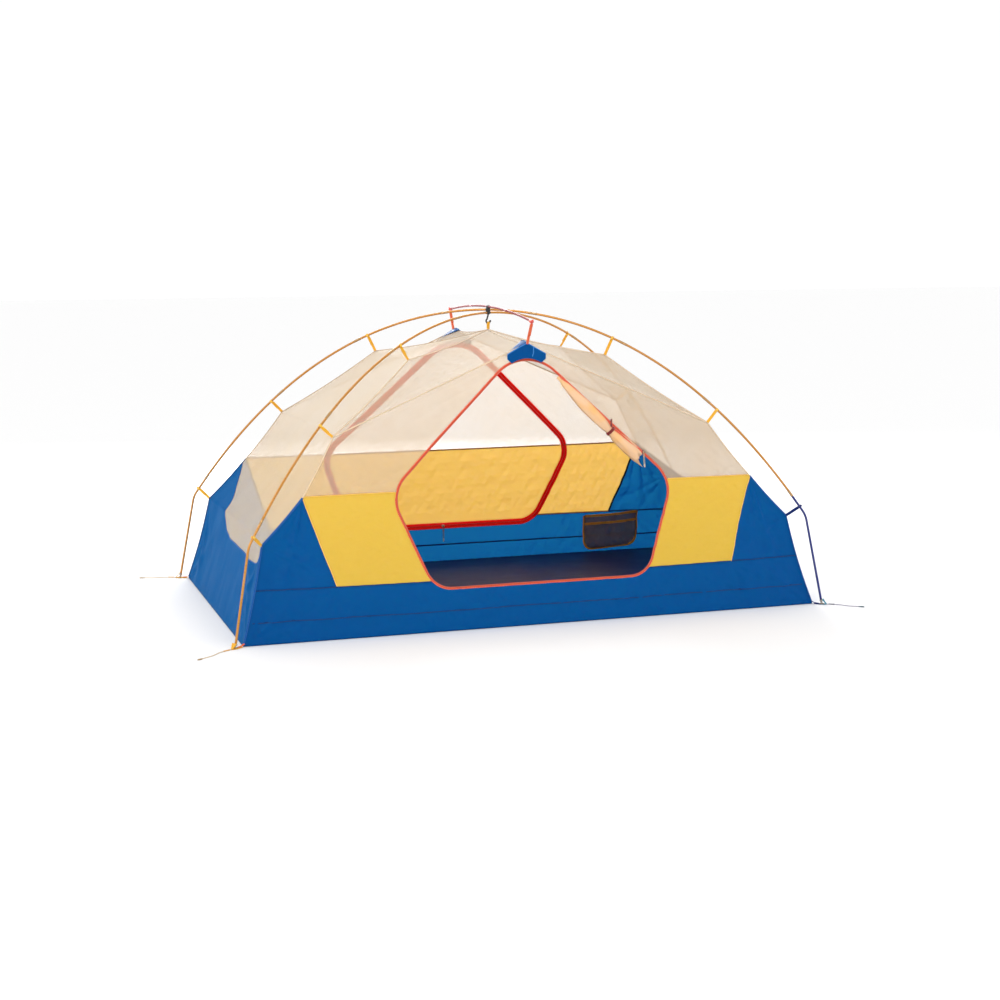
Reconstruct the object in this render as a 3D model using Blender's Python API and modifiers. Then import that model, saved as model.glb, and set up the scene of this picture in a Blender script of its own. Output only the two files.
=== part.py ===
"""A two-person dome tent body hung by clips under two crossing arched poles and a short ridge pole.

Frame: +Z up, origin on the ground at the middle of the floor, X along the tent's length,
-Y towards the side whose door is rolled open.  All lengths in metres.
"""
import math

import bmesh
import bpy
from mathutils import Vector

# ---------------------------------------------------------------- driving dimensions
FLOOR_LENGTH = 2.235
FLOOR_WIDTH = 1.30
PEAK_HEIGHT = 1.056

CLOTH = 0.0025            # thickness every soft panel is given as a solid
SEAM_GAP = 0.0026         # how far a panel stops short of the seam it is sewn along
TOUCH_GAP = 0.0004        # clearance between pieces that touch

# The corner seam, from a floor corner to the peak: height, half length, half width.
CORNER_SEAM = (
    (0.0, FLOOR_LENGTH / 2, FLOOR_WIDTH / 2),
    (0.344, 1.031, 0.580),
    (0.505, 0.879, 0.566),
    (0.707, 0.742, 0.466),
    (0.963, 0.398, 0.253),
    (PEAK_HEIGHT, 0.0, 0.0),
)
LOW_ANCHOR, PANEL_ANCHOR, MID_ANCHOR, HIGH_ANCHOR = CORNER_SEAM[1:5]

# The long wall's profile at the middle of the tent: height, distance from the centre line.
WALL_PROFILE = ((0.0, 0.650), (0.17, 0.655), (0.50, 0.558), (0.965, 0.455), (1.04, 0.455))
BROW_CORNER = (0.088, 0.457, 0.987)      # where the brow pulls the long wall out, x, y, z
BROW_TOP = (0.0, 0.461, 1.027)
MESH_TOP = 0.9925                        # top of the mesh between the door and the brow
WALL_COLUMNS = 36
WALL_FULLNESS = 3                        # power with which the wall swells from seam to middle

# Door outline: corners of a five-sided figure in x, z, with the radius each is rounded to.
DOOR_APEX = (0.0, 1.030)
DOOR_SHOULDER = (0.556, 0.503)
DOOR_HIP = (0.417, 0.160)
APEX_RADIUS = 0.165
SHOULDER_RADIUS = 0.12
HIP_RADIUS = 0.10
ARC_STEPS = 6
FRONT_TAPE = 0.010        # width of the front door's zipper tape
BACK_TAPE = 0.026         # width of the back door's zipper flap

TAPE_THICK = 0.002
SIDES = ((-1, "front", FRONT_TAPE), (1, "back", BACK_TAPE))

BROW_LIFT = 0.0045        # how far a brow patch stands outside the mesh
BROW_DROP = 0.006         # how much lower its sides hang than its middle
BROW_ROWS = ((1.0245, 0.022), (1.008, 0.060), (0.990, 0.086), (0.9665, 0.072))  # height, half width

YELLOW_TOP = 0.508
YELLOW_FOOT = 0.188
YELLOW_FOOT_X = 0.772
WINDOW_BOTTOM = (         # end window's lower edge: place across the end (-1 front, 1 back), height
    (-1.0, 0.330), (-0.96, 0.289), (-0.86, 0.264), (0.18, 0.264), (0.30, 0.290),
    (0.43, 0.355), (0.75, 0.433), (1.0, 0.492),
)
END_INSET = 0.006         # share of its half width by which an end panel stops short of its seams
END_TOP_GAP = 0.012       # how far below the peak the end mesh stops
ROOF_SHARES = (0.06, 0.18, 0.32, 0.4985, 0.64, 0.78, 0.88, 1.0)   # up seam and crease

# Gear pocket inside the back wall: ends in x, bottom and top in z, and depth
POCKET_LEFT = 0.660
POCKET_RIGHT = 0.905
POCKET_BOTTOM = 0.022
POCKET_TOP = 0.176
POCKET_DEPTH = 0.020
POCKET_SIDE = 0.04        # share of its width and of its height taken by a side or the bottom
POCKET_FOOT = 0.08
POCKET_CLOTH = 0.0015

# Poles
POLE_RADIUS = 0.0045
POLE_WALL = 0.0007
SHOCK_CORD_RADIUS = 0.0013
FOOT = (1.149, 0.667)     # where a pole stands, outboard of the floor corner
ELBOW_REACH = 1.258       # horizontal distance of the elbow from the middle
ELBOW_HEIGHT = 0.350
END_REACH = 1.190         # where the elbow section plugs into the arch
FOOT_REACH = math.hypot(*FOOT)
HUB_HEIGHT = 1.128
ARCH_SQUARE = 0.418
ARCH_FOURTH = 0.0465
ARCH_STEPS = 36
POLE_STACK = 0.006        # half the height between the crossing poles' centre lines
POLES = {"a": (1, -POLE_STACK), "b": (-1, POLE_STACK)}   # sign of y at its right foot, lift at the hub
CORD_INSET = 0.025        # how far inside the pole the shock cord ends
TIP_BOTTOM = 0.0050
ELBOW_BEND = 0.018

RIDGE_HALF = 0.528
RIDGE_MIDDLE = 1.1462
RIDGE_END = 1.112
RIDGE_RADIUS = 0.0043

HUB_WIDTH = 0.024
HUB_BOTTOM = 1.110
HUB_TOP = 1.1545
CHANNEL_RADIUS = 0.0054
LUG_DROP = 0.012
LUG_HALF = 0.003
PEAK_STRAP_LIFT = 0.004   # how far above the peak the strap starts

CLIP_REACHES = (1.235, 0.910, 0.497)     # low, middle and high clips on a pole, from the middle
HOOK_RADIUS = 0.0066
HOOK_START = -0.35        # where the wrap round the pole begins and ends, in radians
HOOK_END = 4.4
HOOK_STEPS = 9
STRAP_INSET = 0.0065      # how far short of its seam a strap is
RIDGE_GRIP = 0.520        # where the ridge straps grip, from the middle
STRAP_WIDTH = 0.011
STRAP_THICK = 0.0016

CORD_RADIUS = 0.0015
CORD_STEPS = 22
FIRST_KNOT_GAP = 0.0001   # clearance under a cord that lies on the ground
CORD_SWAY = 0.006         # how far a stake cord wanders to one side and back
# Where each stake cord ends, measured from its foot in x and y; the key is the corner's signs.
STAKE_RUNS = {(-1, -1): (-0.134, -0.112), (-1, 1): (-0.146, 0.036),
              (1, -1): (0.112, -0.092), (1, 1): (0.134, 0.060)}
TAB_REACH = 0.020         # how far a corner tab runs on past the foot, towards its stake cord
TAB_START = 0.005         # its first edge, from the floor corner
TAB_NECK = 0.012          # its narrowing before the foot
TAB_HALVES = (0.006, 0.010, 0.012, 0.004)    # half widths at corner, neck, foot and outer end

# Door roll, its toggle, and the zipper sliders
ROLL_OUT = 0.030
ROLL_RADIUS = 0.020
ROLL_STEPS = 12
ROLL_SPOTS = ((0.150, 0.900), (0.230, 0.820), (0.305, 0.745), (0.355, 0.696), (0.404, 0.648))
TIE_SPOT = (0.305, 0.745)
TOGGLE_OUT = 0.0060
TOGGLE_LENGTH = 0.030
TOGGLE_RADIUS = 0.0024
FRONT_SLIDER_SHARE = 0.86  # how far down the right leg of the door the front slider is parked
BACK_SLIDER_SHARE = 0.5   # the back slider is half way along the foot of its door
FRONT_PULL = 0.058
BACK_PULL = 0.070
LEG_RUN = ARC_STEPS       # outline point where the right leg starts
FOOT_RUN = 3 * ARC_STEPS + 2

SLIDER_SIZE = (0.012, 0.006, 0.014)
PULL_WIRE = 0.0013

# ---------------------------------------------------------------- colours
BLUE = (0.010, 0.085, 0.310)
YELLOW = (0.90, 0.50, 0.06)
MESH = (0.78, 0.66, 0.50)
GOLD = (0.62, 0.34, 0.05)
POLE_BLUE = (0.08, 0.12, 0.42)
BURGUNDY = (0.33, 0.05, 0.06)
CORAL = (0.80, 0.13, 0.06)
RED = (0.55, 0.02, 0.015)
NAVY = (0.02, 0.035, 0.12)
BLACK = (0.02, 0.02, 0.02)
WHITE = (0.75, 0.75, 0.72)
GREY = (0.25, 0.25, 0.24)
TEAL = (0.02, 0.25, 0.35)


# ---------------------------------------------------------------- scene helpers
def clear_scene():
    """Remove every object, mesh and curve that the file opened with."""
    for item in list(bpy.data.objects):
        bpy.data.objects.remove(item, do_unlink=True)


def new_collection(name):
    """Make a collection and link it to the scene."""
    collection = bpy.data.collections.new(name)
    bpy.context.scene.collection.children.link(collection)
    return collection


clear_scene()
PARTS = new_collection("dome_tent")
CUTTERS = new_collection("cutters")


def material(name, colour, roughness=0.7, metallic=0.0):
    """A Principled material of one colour."""
    made = bpy.data.materials.new(name)
    made.use_nodes = True
    shader = made.node_tree.nodes["Principled BSDF"]
    shader.inputs["Base Color"].default_value = (*colour, 1.0)
    shader.inputs["Roughness"].default_value = roughness
    shader.inputs["Metallic"].default_value = metallic
    return made


def place(name, data, look):
    """Link a new object holding the given mesh or curve, with its own material."""
    made = bpy.data.objects.new(name, data)
    data.materials.append(material(name + "_look", *look))
    PARTS.objects.link(made)
    return made


def solidify(target, thickness, offset):
    """Give an open surface its thickness."""
    shell = target.modifiers.new("thickness", "SOLIDIFY")
    shell.thickness = thickness
    shell.offset = offset
    shell.use_even_offset = True


def sheet(name, grids, look, thickness=CLOTH):
    """One object from grids of points that share edges: an open surface that Solidify closes."""
    mesh = bpy.data.meshes.new(name)
    numbers = {}
    points = []
    faces = []
    for grid in grids:
        rows = []
        for row in grid:
            ids = []
            for point in row:
                key = tuple(round(value, 5) for value in point)
                if key not in numbers:
                    numbers[key] = len(points)
                    points.append(point)
                ids.append(numbers[key])
            rows.append(ids)
        for low, high in zip(rows, rows[1:]):
            for i in range(len(low) - 1):
                corners = list(dict.fromkeys((low[i], low[i + 1], high[i + 1], high[i])))
                if len(corners) > 2:
                    faces.append(corners)
    mesh.from_pydata(points, [], faces)
    work = bmesh.new()
    work.from_mesh(mesh)
    bmesh.ops.recalc_face_normals(work, faces=work.faces)
    work.to_mesh(mesh)
    work.free()
    made = place(name, mesh, look)
    solidify(made, thickness, 0.0)
    return made


def tube(name, route, radius, look, wall=None, resolution=2):
    """A round tube along a route of points; wall makes it hollow."""
    curve = bpy.data.curves.new(name, "CURVE")
    curve.dimensions = "3D"
    curve.bevel_depth = radius
    curve.bevel_resolution = resolution
    curve.use_fill_caps = wall is None
    spline = curve.splines.new("POLY")
    spline.points.add(len(route) - 1)
    for point, spot in zip(spline.points, route):
        point.co = (*spot, 1.0)
    made = place(name, curve, look)
    if wall is not None:
        solidify(made, wall, -1.0)
    return made


def box(name, centre, along, across, up, look):
    """A box from its centre and three half axes, which may turn either way."""
    if along.cross(across).dot(up) < 0:
        across = -across
    mesh = bpy.data.meshes.new(name)
    work = bmesh.new()
    bmesh.ops.create_cube(work, size=2.0)
    for vert in work.verts:
        vert.co = centre + along * vert.co.x + across * vert.co.y + up * vert.co.z
    work.to_mesh(mesh)
    work.free()
    return place(name, mesh, look)


# ---------------------------------------------------------------- the tent's surfaces
def interpolate(table, at, column=1):
    """Straight-line interpolation in a table whose rows start with a rising key."""
    if at <= table[0][0]:
        return table[0][column]
    for low, high in zip(table, table[1:]):
        if at <= high[0]:
            share = (at - low[0]) / (high[0] - low[0])
            return low[column] + share * (high[column] - low[column])
    return table[-1][column]


def mix(low, high, share):
    """The point or number a share of the way from low to high."""
    return low + (high - low) * share


def seam_x(height):
    """Half length of the tent along the corner seam at a height."""
    return interpolate(CORNER_SEAM, height, 1)


def seam_y(height):
    """Half width of the tent along the corner seam at a height."""
    return interpolate(CORNER_SEAM, height, 2)


def crease_share(height):
    """How far up the crease from the middle anchor to the brow corner a height is."""
    return (height - MID_ANCHOR[0]) / (BROW_CORNER[2] - MID_ANCHOR[0])


def wall_edge_x(height):
    """The long wall's half length: the corner seam, then the crease to the brow."""
    if height <= MID_ANCHOR[0]:
        return seam_x(height)
    return mix(MID_ANCHOR[1], BROW_CORNER[0], crease_share(height))


def wall_edge_y(height):
    """The long wall's distance from the centre line at that edge."""
    if height <= MID_ANCHOR[0]:
        return seam_y(height)
    return mix(MID_ANCHOR[2], BROW_CORNER[1], crease_share(height))


def wall_y(x, height):
    """Distance of the long wall from the centre line, at a place along it and a height."""
    middle = interpolate(WALL_PROFILE, height)
    share = min(1.0, abs(x) / wall_edge_x(height)) ** WALL_FULLNESS
    return mix(middle, wall_edge_y(height), share)


def wall_point(x, height, side, out=0.0):
    """A point on a long wall; side is -1 at the front and 1 at the back, out is outwards."""
    return Vector((x, side * (wall_y(x, height) + out), height))


def steps(low, high, count):
    """Evenly spaced numbers from low to high."""
    return [mix(low, high, i / count) for i in range(count + 1)]


def patch_by_height(side, hand, low, high, inner, outer, rows, columns):
    """Part of a long wall between two edges that are functions of height."""
    grid = []
    for height in steps(low, high, rows):
        places = steps(inner(height) + SEAM_GAP, outer(height) - SEAM_GAP, columns)
        grid.append([wall_point(hand * x, height, side) for x in places])
    return grid


def rounded_outline(corners, radii):
    """Closed outline through rounded corners, as points in order."""
    outline = []
    count = len(corners)
    for index, (corner, radius) in enumerate(zip(corners, radii)):
        at = Vector(corner)
        before = (Vector(corners[index - 1]) - at).normalized()
        after = (Vector(corners[(index + 1) % count]) - at).normalized()
        half = before.angle(after) / 2
        centre = at + (before + after).normalized() * (radius / math.sin(half))
        start = at + before * (radius / math.tan(half)) - centre
        end = at + after * (radius / math.tan(half)) - centre
        sweep = start.angle(end)
        for share in steps(0.0, 1.0, ARC_STEPS):
            turned = (start * math.sin(sweep * (1 - share)) + end * math.sin(sweep * share))
            outline.append(centre + turned / math.sin(sweep))
    return outline


def offset_outline(outline, distance):
    """The outline moved outwards by a distance."""
    moved = []
    count = len(outline)
    for index, point in enumerate(outline):
        along = outline[(index + 1) % count] - outline[index - 1]
        outward = Vector((-along.y, along.x)).normalized()
        moved.append(point + outward * distance)
    return moved


DOOR_CORNERS = (
    DOOR_APEX,
    DOOR_SHOULDER,
    DOOR_HIP,
    (-DOOR_HIP[0], DOOR_HIP[1]),
    (-DOOR_SHOULDER[0], DOOR_SHOULDER[1]),
)
DOOR_RADII = (APEX_RADIUS, SHOULDER_RADIUS, HIP_RADIUS, HIP_RADIUS, SHOULDER_RADIUS)
DOOR_OUTLINE = rounded_outline(DOOR_CORNERS, DOOR_RADII)
DOOR_BOTTOM = DOOR_HIP[1]


def door_x(distance):
    """Function giving the door's half width at a height."""
    moved = offset_outline(DOOR_OUTLINE, distance)
    right = sorted(((p.y, p.x) for p in moved if p.x >= 0.0), key=lambda row: row[0])
    lowest = right[0][0]
    rising = [row for row in right if row[0] > lowest + 0.0005 or row[1] > DOOR_HIP[0] / 2]
    return lambda height: interpolate(rising, height)


def door_z(distance):
    """Function giving the height of the door's lower edge at a place along the wall."""
    moved = offset_outline(DOOR_OUTLINE, distance)
    lower = sorted(((p.x, p.y) for p in moved if p.x >= 0.0 and p.y < DOOR_SHOULDER[1]),
                   key=lambda row: row[0])
    lower = [(0.0, moved_bottom(moved))] + lower
    return lambda x: interpolate(lower, abs(x))


def moved_bottom(outline):
    """Lowest height of an outline."""
    return min(point.y for point in outline)


def yellow_edge_x(height):
    """Outer edge of a yellow panel: a slanted seam from its top corner to its foot."""
    share = max(0.0, (height - YELLOW_FOOT) / (PANEL_ANCHOR[0] - YELLOW_FOOT))
    return mix(YELLOW_FOOT_X, PANEL_ANCHOR[1], share)


def outer_columns(height, columns=3):
    """Places along the wall of a blue corner's columns, from the yellow panel to the seam."""
    return steps(yellow_edge_x(height) + SEAM_GAP, seam_x(height) - SEAM_GAP, columns)


def blue_wall(side, tape):
    """Grids of a long wall's blue cloth: a strip along the floor and a corner at each end."""
    clear = tape / 2 + SEAM_GAP
    door_side = door_x(clear)
    door_foot = door_z(clear)
    low = CLOTH + 2 * SEAM_GAP
    top = YELLOW_FOOT - SEAM_GAP
    middle = steps(-YELLOW_FOOT_X, YELLOW_FOOT_X, WALL_COLUMNS)[1:-1]
    spacing = 2 * YELLOW_FOOT_X / WALL_COLUMNS
    strip = []
    for share in (0.0, 0.5, 1.0):
        base = mix(low, top, share)
        outer = outer_columns(base)
        row = [wall_point(-x, base, side) for x in reversed(outer)]
        for x in middle:
            edge = top
            if abs(x) < door_side(YELLOW_FOOT) + spacing:
                edge = min(top, door_foot(abs(x) - spacing / 2))
            row.append(wall_point(x, mix(low, edge, share), side))
        row += [wall_point(x, base, side) for x in outer]
        strip.append(row)
    grids = [strip]
    for hand in (-1, 1):
        grids.append([[wall_point(hand * x, height, side) for x in outer_columns(height)]
                      for height in steps(top, PANEL_ANCHOR[0] - 4 * SEAM_GAP, 5)])
    return grids


def wall_mesh(side, tape):
    """Grids of a long wall's mesh: both sides of the door and the strip over its top."""
    clear = tape / 2 + 2 * SEAM_GAP
    door_side = door_x(clear)
    apex = max(point.y for point in DOOR_OUTLINE) + clear
    start = YELLOW_TOP + SEAM_GAP
    heights = [mix(start, apex, (1 - math.cos(turn)) / 2) for turn in steps(0.0, math.pi, 16)]
    heights.append(MESH_TOP)
    grids = []
    for hand in (-1, 1):
        grid = []
        for height in heights:
            inner = 0.0 if height > apex - 0.0005 else door_side(height)
            places = steps(inner, wall_edge_x(height) - SEAM_GAP, 3)
            grid.append([wall_point(hand * x, height, side) for x in places])
        grids.append(grid)
    return grids


def end_point(share, height, hand):
    """A point on an end wall; share runs from -1 at the front seam to 1 at the back seam."""
    return Vector((hand * seam_x(height), share * seam_y(height), height))


def end_panel(hand):
    """The blue end below its window."""
    grid = []
    low = CLOTH + 2 * SEAM_GAP
    for share in [row[0] for row in WINDOW_BOTTOM]:
        inset = share * (1 - END_INSET)
        top = interpolate(WINDOW_BOTTOM, share) - SEAM_GAP
        grid.append([end_point(inset, height, hand) for height in steps(low, top, 3)])
    return grid


def end_mesh(hand):
    """The end's mesh, in the strips between its clip anchors."""
    grid = []
    levels = [PANEL_ANCHOR[0], mix(PANEL_ANCHOR[0], MID_ANCHOR[0], 0.5), MID_ANCHOR[0],
              mix(MID_ANCHOR[0], HIGH_ANCHOR[0], 0.5), HIGH_ANCHOR[0], PEAK_HEIGHT - END_TOP_GAP]
    for share in [row[0] for row in WINDOW_BOTTOM]:
        low = interpolate(WINDOW_BOTTOM, share) + SEAM_GAP
        heights = [low, mix(low, PANEL_ANCHOR[0], 0.5)] + levels
        column = []
        for height in heights:
            inset = SEAM_GAP / max(seam_y(height), 4 * SEAM_GAP)
            column.append(end_point(share * (1 - inset), height, hand))
        grid.append(column)
    return grid


def along(points, share):
    """The point a share of the way along a chain of points."""
    lengths = [(b - a).length for a, b in zip(points, points[1:])]
    left = share * sum(lengths)
    for start, end, length in zip(points, points[1:], lengths):
        if left <= length:
            return start.lerp(end, left / length)
        left -= length
    return points[-1]


def roof_facet(side, hand):
    """A quarter of the roof, between the corner seam and the crease to the brow."""
    def spot(row):
        return Vector((hand * row[1], side * row[2], row[0]))
    seam = [spot(MID_ANCHOR), spot(HIGH_ANCHOR), spot(CORNER_SEAM[5])]
    brow = Vector((hand * BROW_CORNER[0], side * BROW_CORNER[1], BROW_CORNER[2]))
    crease = [spot(MID_ANCHOR), brow, Vector((0.0, side * BROW_TOP[1], BROW_TOP[2]))]
    grid = []
    for share in ROOF_SHARES:
        low = along(seam, share)
        high = along(crease, share)
        inset = SEAM_GAP / (high - low).length
        grid.append([low.lerp(high, v) for v in steps(inset, 1 - inset, 3)])
    return grid


# ---------------------------------------------------------------- fabric
def build_floor():
    """The bathtub floor's flat bottom."""
    half_x = FLOOR_LENGTH / 2 - SEAM_GAP
    half_y = FLOOR_WIDTH / 2 - SEAM_GAP
    up = Vector((0, 0, CLOTH / 2))
    box("floor", up, Vector((half_x, 0, 0)), Vector((0, half_y, 0)), up, (NAVY, 0.6))


def build_walls():
    """Both long walls: the blue cloth, the yellow panels and the mesh beside the door."""
    for side, word, tape in SIDES:
        sheet(word + "_blue_wall", blue_wall(side, tape), (BLUE, 0.6))
        sheet(word + "_mesh", wall_mesh(side, tape), (MESH, 0.8))
        inner = door_x(tape / 2 + TOUCH_GAP)
        for hand, end in ((-1, "left"), (1, "right")):
            grid = patch_by_height(side, hand, YELLOW_FOOT + SEAM_GAP, YELLOW_TOP - SEAM_GAP,
                                   inner, yellow_edge_x, 8, 3)
            sheet(f"{word}_yellow_panel_{end}", [grid], (YELLOW, 0.6))


def build_ends():
    """Both ends: blue cloth with a window of mesh above it."""
    for hand, word in ((-1, "left"), (1, "right")):
        sheet(word + "_end_panel", [end_panel(hand)], (BLUE, 0.6))
        sheet(word + "_end_mesh", [end_mesh(hand)], (MESH, 0.8))


def build_roof():
    """The roof's two mesh panels, which meet at the peak."""
    for side, word, _ in SIDES:
        sheet("roof_mesh_" + word, [roof_facet(side, -1), roof_facet(side, 1)], (MESH, 0.8))


def build_brows():
    """The reinforced patch at each end of the ridge pole, lying just outside the mesh."""
    for side, word, _ in SIDES:
        grid = []
        for height, half in BROW_ROWS:
            row = []
            for x in steps(-half, half, 4):
                drop = BROW_DROP * (x / half) ** 2
                row.append(Vector((x, side * (BROW_TOP[1] + BROW_LIFT), height - drop + BROW_LIFT)))
            grid.append(row)
        sheet("brow_patch_" + word, [grid], (BLUE, 0.6))


def build_back_door():
    """The closed back door: coloured cloth below, mesh above."""
    inside = door_x(-BACK_TAPE / 2 - SEAM_GAP)
    top = max(point.y for point in DOOR_OUTLINE) - BACK_TAPE / 2 - 3 * SEAM_GAP
    grid = []
    for height in steps(DOOR_BOTTOM + BACK_TAPE / 2 + SEAM_GAP, top, 14):
        half = inside(height)
        grid.append([wall_point(x, height, 1) for x in steps(-half, half, 6)])
    sheet("back_door", [grid], (YELLOW, 0.6))


def build_zips():
    """The zipper tape round each door."""
    for side, word, width in SIDES:
        look = (CORAL, 0.6) if side < 0 else (RED, 0.6)
        rows = list(zip(offset_outline(DOOR_OUTLINE, -width / 2), offset_outline(DOOR_OUTLINE, width / 2)))
        grid = [[wall_point(*inner, side), wall_point(*outer, side)] for inner, outer in rows + rows[:1]]
        sheet(word + "_zipper_tape", [grid], look, TAPE_THICK)


def build_pocket():
    """Mesh pocket on the inside of the back lower wall, open along its top."""
    grid = []
    columns = (0.0, POCKET_SIDE, 0.3, 0.5, 0.7, 1.0 - POCKET_SIDE, 1.0)
    for v in (0.0, POCKET_FOOT, 0.5, 1.0):
        row = []
        for u in columns:
            bulge = min(1.0, u / POCKET_SIDE, (1 - u) / POCKET_SIDE) * min(1.0, v / POCKET_FOOT)
            x = mix(POCKET_LEFT, POCKET_RIGHT, u)
            height = mix(POCKET_BOTTOM, POCKET_TOP, v)
            wall = wall_y(x, height) - CLOTH - SEAM_GAP
            row.append(Vector((x, wall - POCKET_DEPTH * bulge, height)))
        grid.append(row)
    sheet("mesh_pocket", [grid], (GREY, 0.8), POCKET_CLOTH)


# ---------------------------------------------------------------- poles
def arch_height(reach):
    """Height of the arch's centre line at a horizontal distance from the middle."""
    return HUB_HEIGHT - ARCH_SQUARE * reach ** 2 - ARCH_FOURTH * reach ** 4


def pole_point(pole, reach, height=None):
    """A point on a pole's centre line; reach is negative towards its left foot."""
    turn, lift = POLES[pole]
    x = reach * FOOT[0] / FOOT_REACH
    y = reach * FOOT[1] / FOOT_REACH * turn
    if height is None:
        height = arch_height(reach) + lift * (1 - (reach / ELBOW_REACH) ** 2)
    return Vector((x, y, height))


def arch_reaches():
    """Reaches of the arch's points, equally spaced along the arch."""
    samples = steps(-END_REACH, END_REACH, 400)
    travelled = [0.0]
    for low, high in zip(samples, samples[1:]):
        travelled.append(travelled[-1] + math.hypot(high - low, arch_height(high) - arch_height(low)))
    table = list(zip(travelled, samples))
    return [interpolate(table, distance) for distance in steps(0.0, travelled[-1], ARCH_STEPS)]


def trimmed(route, start_gap, end_gap):
    """A route shortened at its two ends."""
    route = list(route)
    if start_gap:
        route[0] = route[0] + (route[1] - route[0]).normalized() * start_gap
    if end_gap:
        route[-1] = route[-1] + (route[-2] - route[-1]).normalized() * end_gap
    return route


def end_route(pole, hand):
    """An end section: the last of the arch, the elbow's bend and the straight leg."""
    elbow = pole_point(pole, hand * ELBOW_REACH, ELBOW_HEIGHT)
    foot = pole_point(pole, hand * FOOT_REACH, 0.0)
    upper = pole_point(pole, hand * END_REACH)
    leg = (foot - elbow).normalized()
    arm = (upper - elbow).normalized()
    middle = elbow + (leg + arm) * (ELBOW_BEND * 0.25)
    legs_end = foot - leg * (TIP_BOTTOM / -leg.z)
    return [upper, elbow + arm * ELBOW_BEND, middle, elbow + leg * ELBOW_BEND, legs_end]


def build_poles():
    """Both arched poles: a hollow arch, two elbowed ends, and the shock cord inside."""
    for pole, ends in (("a", ("front_left", "back_right")), ("b", ("back_left", "front_right"))):
        arch = [pole_point(pole, reach) for reach in arch_reaches()]
        left = end_route(pole, -1)
        right = end_route(pole, 1)
        tube(f"main_pole_{pole}", trimmed(arch, TOUCH_GAP, TOUCH_GAP), POLE_RADIUS, (GOLD, 0.35, 0.8),
             wall=POLE_WALL)
        tube("pole_end_" + ends[0], trimmed(left, TOUCH_GAP, 0), POLE_RADIUS, (GOLD, 0.35, 0.8),
             wall=POLE_WALL)
        tube("pole_end_" + ends[1], trimmed(right, TOUCH_GAP, 0), POLE_RADIUS, (POLE_BLUE, 0.35, 0.8),
             wall=POLE_WALL)
        chain = list(reversed(left)) + arch[1:-1] + right
        tube(f"shock_cord_{pole}", trimmed(chain, CORD_INSET, CORD_INSET), SHOCK_CORD_RADIUS,
             (WHITE, 0.8), resolution=1)


def ridge_height(y):
    """Height of the ridge pole's centre line, a shallow parabola."""
    return mix(RIDGE_MIDDLE, RIDGE_END, (y / RIDGE_HALF) ** 2)


def build_ridge():
    """The short pole across the hub that holds both brows out."""
    route = [Vector((0, y, ridge_height(y))) for y in steps(-RIDGE_HALF, RIDGE_HALF, 12)]
    tube("ridge_pole", route, RIDGE_RADIUS, (BURGUNDY, 0.35, 0.6))


def hide_as_cutter(shape):
    """Keep a shape that only cuts or joins out of the model."""
    CUTTERS.objects.link(shape)
    shape.hide_render = True
    shape.display_type = "WIRE"
    return shape


def cylinder_cutter(name, centre, direction, radius, length):
    """A cylinder that cuts a channel along a direction."""
    bpy.ops.mesh.primitive_cylinder_add(vertices=16, radius=radius, depth=length, location=centre)
    cutter = bpy.context.active_object
    cutter.name = name
    cutter.rotation_mode = "QUATERNION"
    cutter.rotation_quaternion = direction.to_track_quat("Z", "Y")
    for collection in list(cutter.users_collection):
        collection.objects.unlink(cutter)
    return hide_as_cutter(cutter)


def build_hub():
    """Moulded block that holds the three poles where they cross, with a lug under it."""
    half = HUB_WIDTH / 2
    block = box("hub_block", Vector((0, 0, (HUB_TOP + HUB_BOTTOM) / 2)), Vector((half, 0, 0)),
                Vector((0, half, 0)), Vector((0, 0, (HUB_TOP - HUB_BOTTOM) / 2)), (BLACK, 0.4))
    lug = box("hub_lug", Vector((0, 0, HUB_BOTTOM - LUG_DROP / 2)), Vector((LUG_HALF, 0, 0)),
              Vector((0, LUG_HALF / 2, 0)), Vector((0, 0, LUG_DROP / 2 + LUG_HALF)), (BLACK, 0.4))
    PARTS.objects.unlink(lug)
    hide_as_cutter(lug)
    join = block.modifiers.new("lug", "BOOLEAN")
    join.object = lug
    join.operation = "UNION"
    channels = (
        ("channel_a", HUB_HEIGHT - POLE_STACK, Vector((FOOT[0], FOOT[1], 0))),
        ("channel_b", HUB_HEIGHT + POLE_STACK, Vector((FOOT[0], -FOOT[1], 0))),
        ("channel_ridge", RIDGE_MIDDLE, Vector((0, 1, 0))),
    )
    for name, height, direction in channels:
        cut = block.modifiers.new(name, "BOOLEAN")
        cut.object = cylinder_cutter(name, (0, 0, height), direction, CHANNEL_RADIUS, 4 * HUB_WIDTH)
        cut.operation = "DIFFERENCE"
    top = HUB_BOTTOM - LUG_DROP - LUG_HALF - TOUCH_GAP
    bottom = PEAK_HEIGHT + PEAK_STRAP_LIFT
    box("peak_strap", Vector((0, 0, (top + bottom) / 2)), Vector((STRAP_WIDTH / 2, 0, 0)),
        Vector((0, STRAP_THICK / 2, 0)), Vector((0, 0, (top - bottom) / 2)), (YELLOW, 0.7))


# ---------------------------------------------------------------- clips and straps
def hooked_strap(name, pole_at, pole_run, seam, side_width, look):
    """A strap from a seam that ends in a hook wrapped round a pole, as one ribbon."""
    down = (seam - pole_at)
    down = (down - pole_run * down.dot(pole_run)).normalized()
    sideways = pole_run.cross(down).normalized()
    profile = [seam - (seam - pole_at).normalized() * STRAP_INSET]
    for step in range(HOOK_STEPS + 1):
        angle = HOOK_START + (HOOK_END - HOOK_START) * step / HOOK_STEPS
        profile.append(pole_at + (down * math.cos(angle) + sideways * math.sin(angle)) * HOOK_RADIUS)
    grid = [[spot - pole_run * (side_width / 2), spot + pole_run * (side_width / 2)] for spot in profile]
    return sheet(name, [grid], look, STRAP_THICK)


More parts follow.
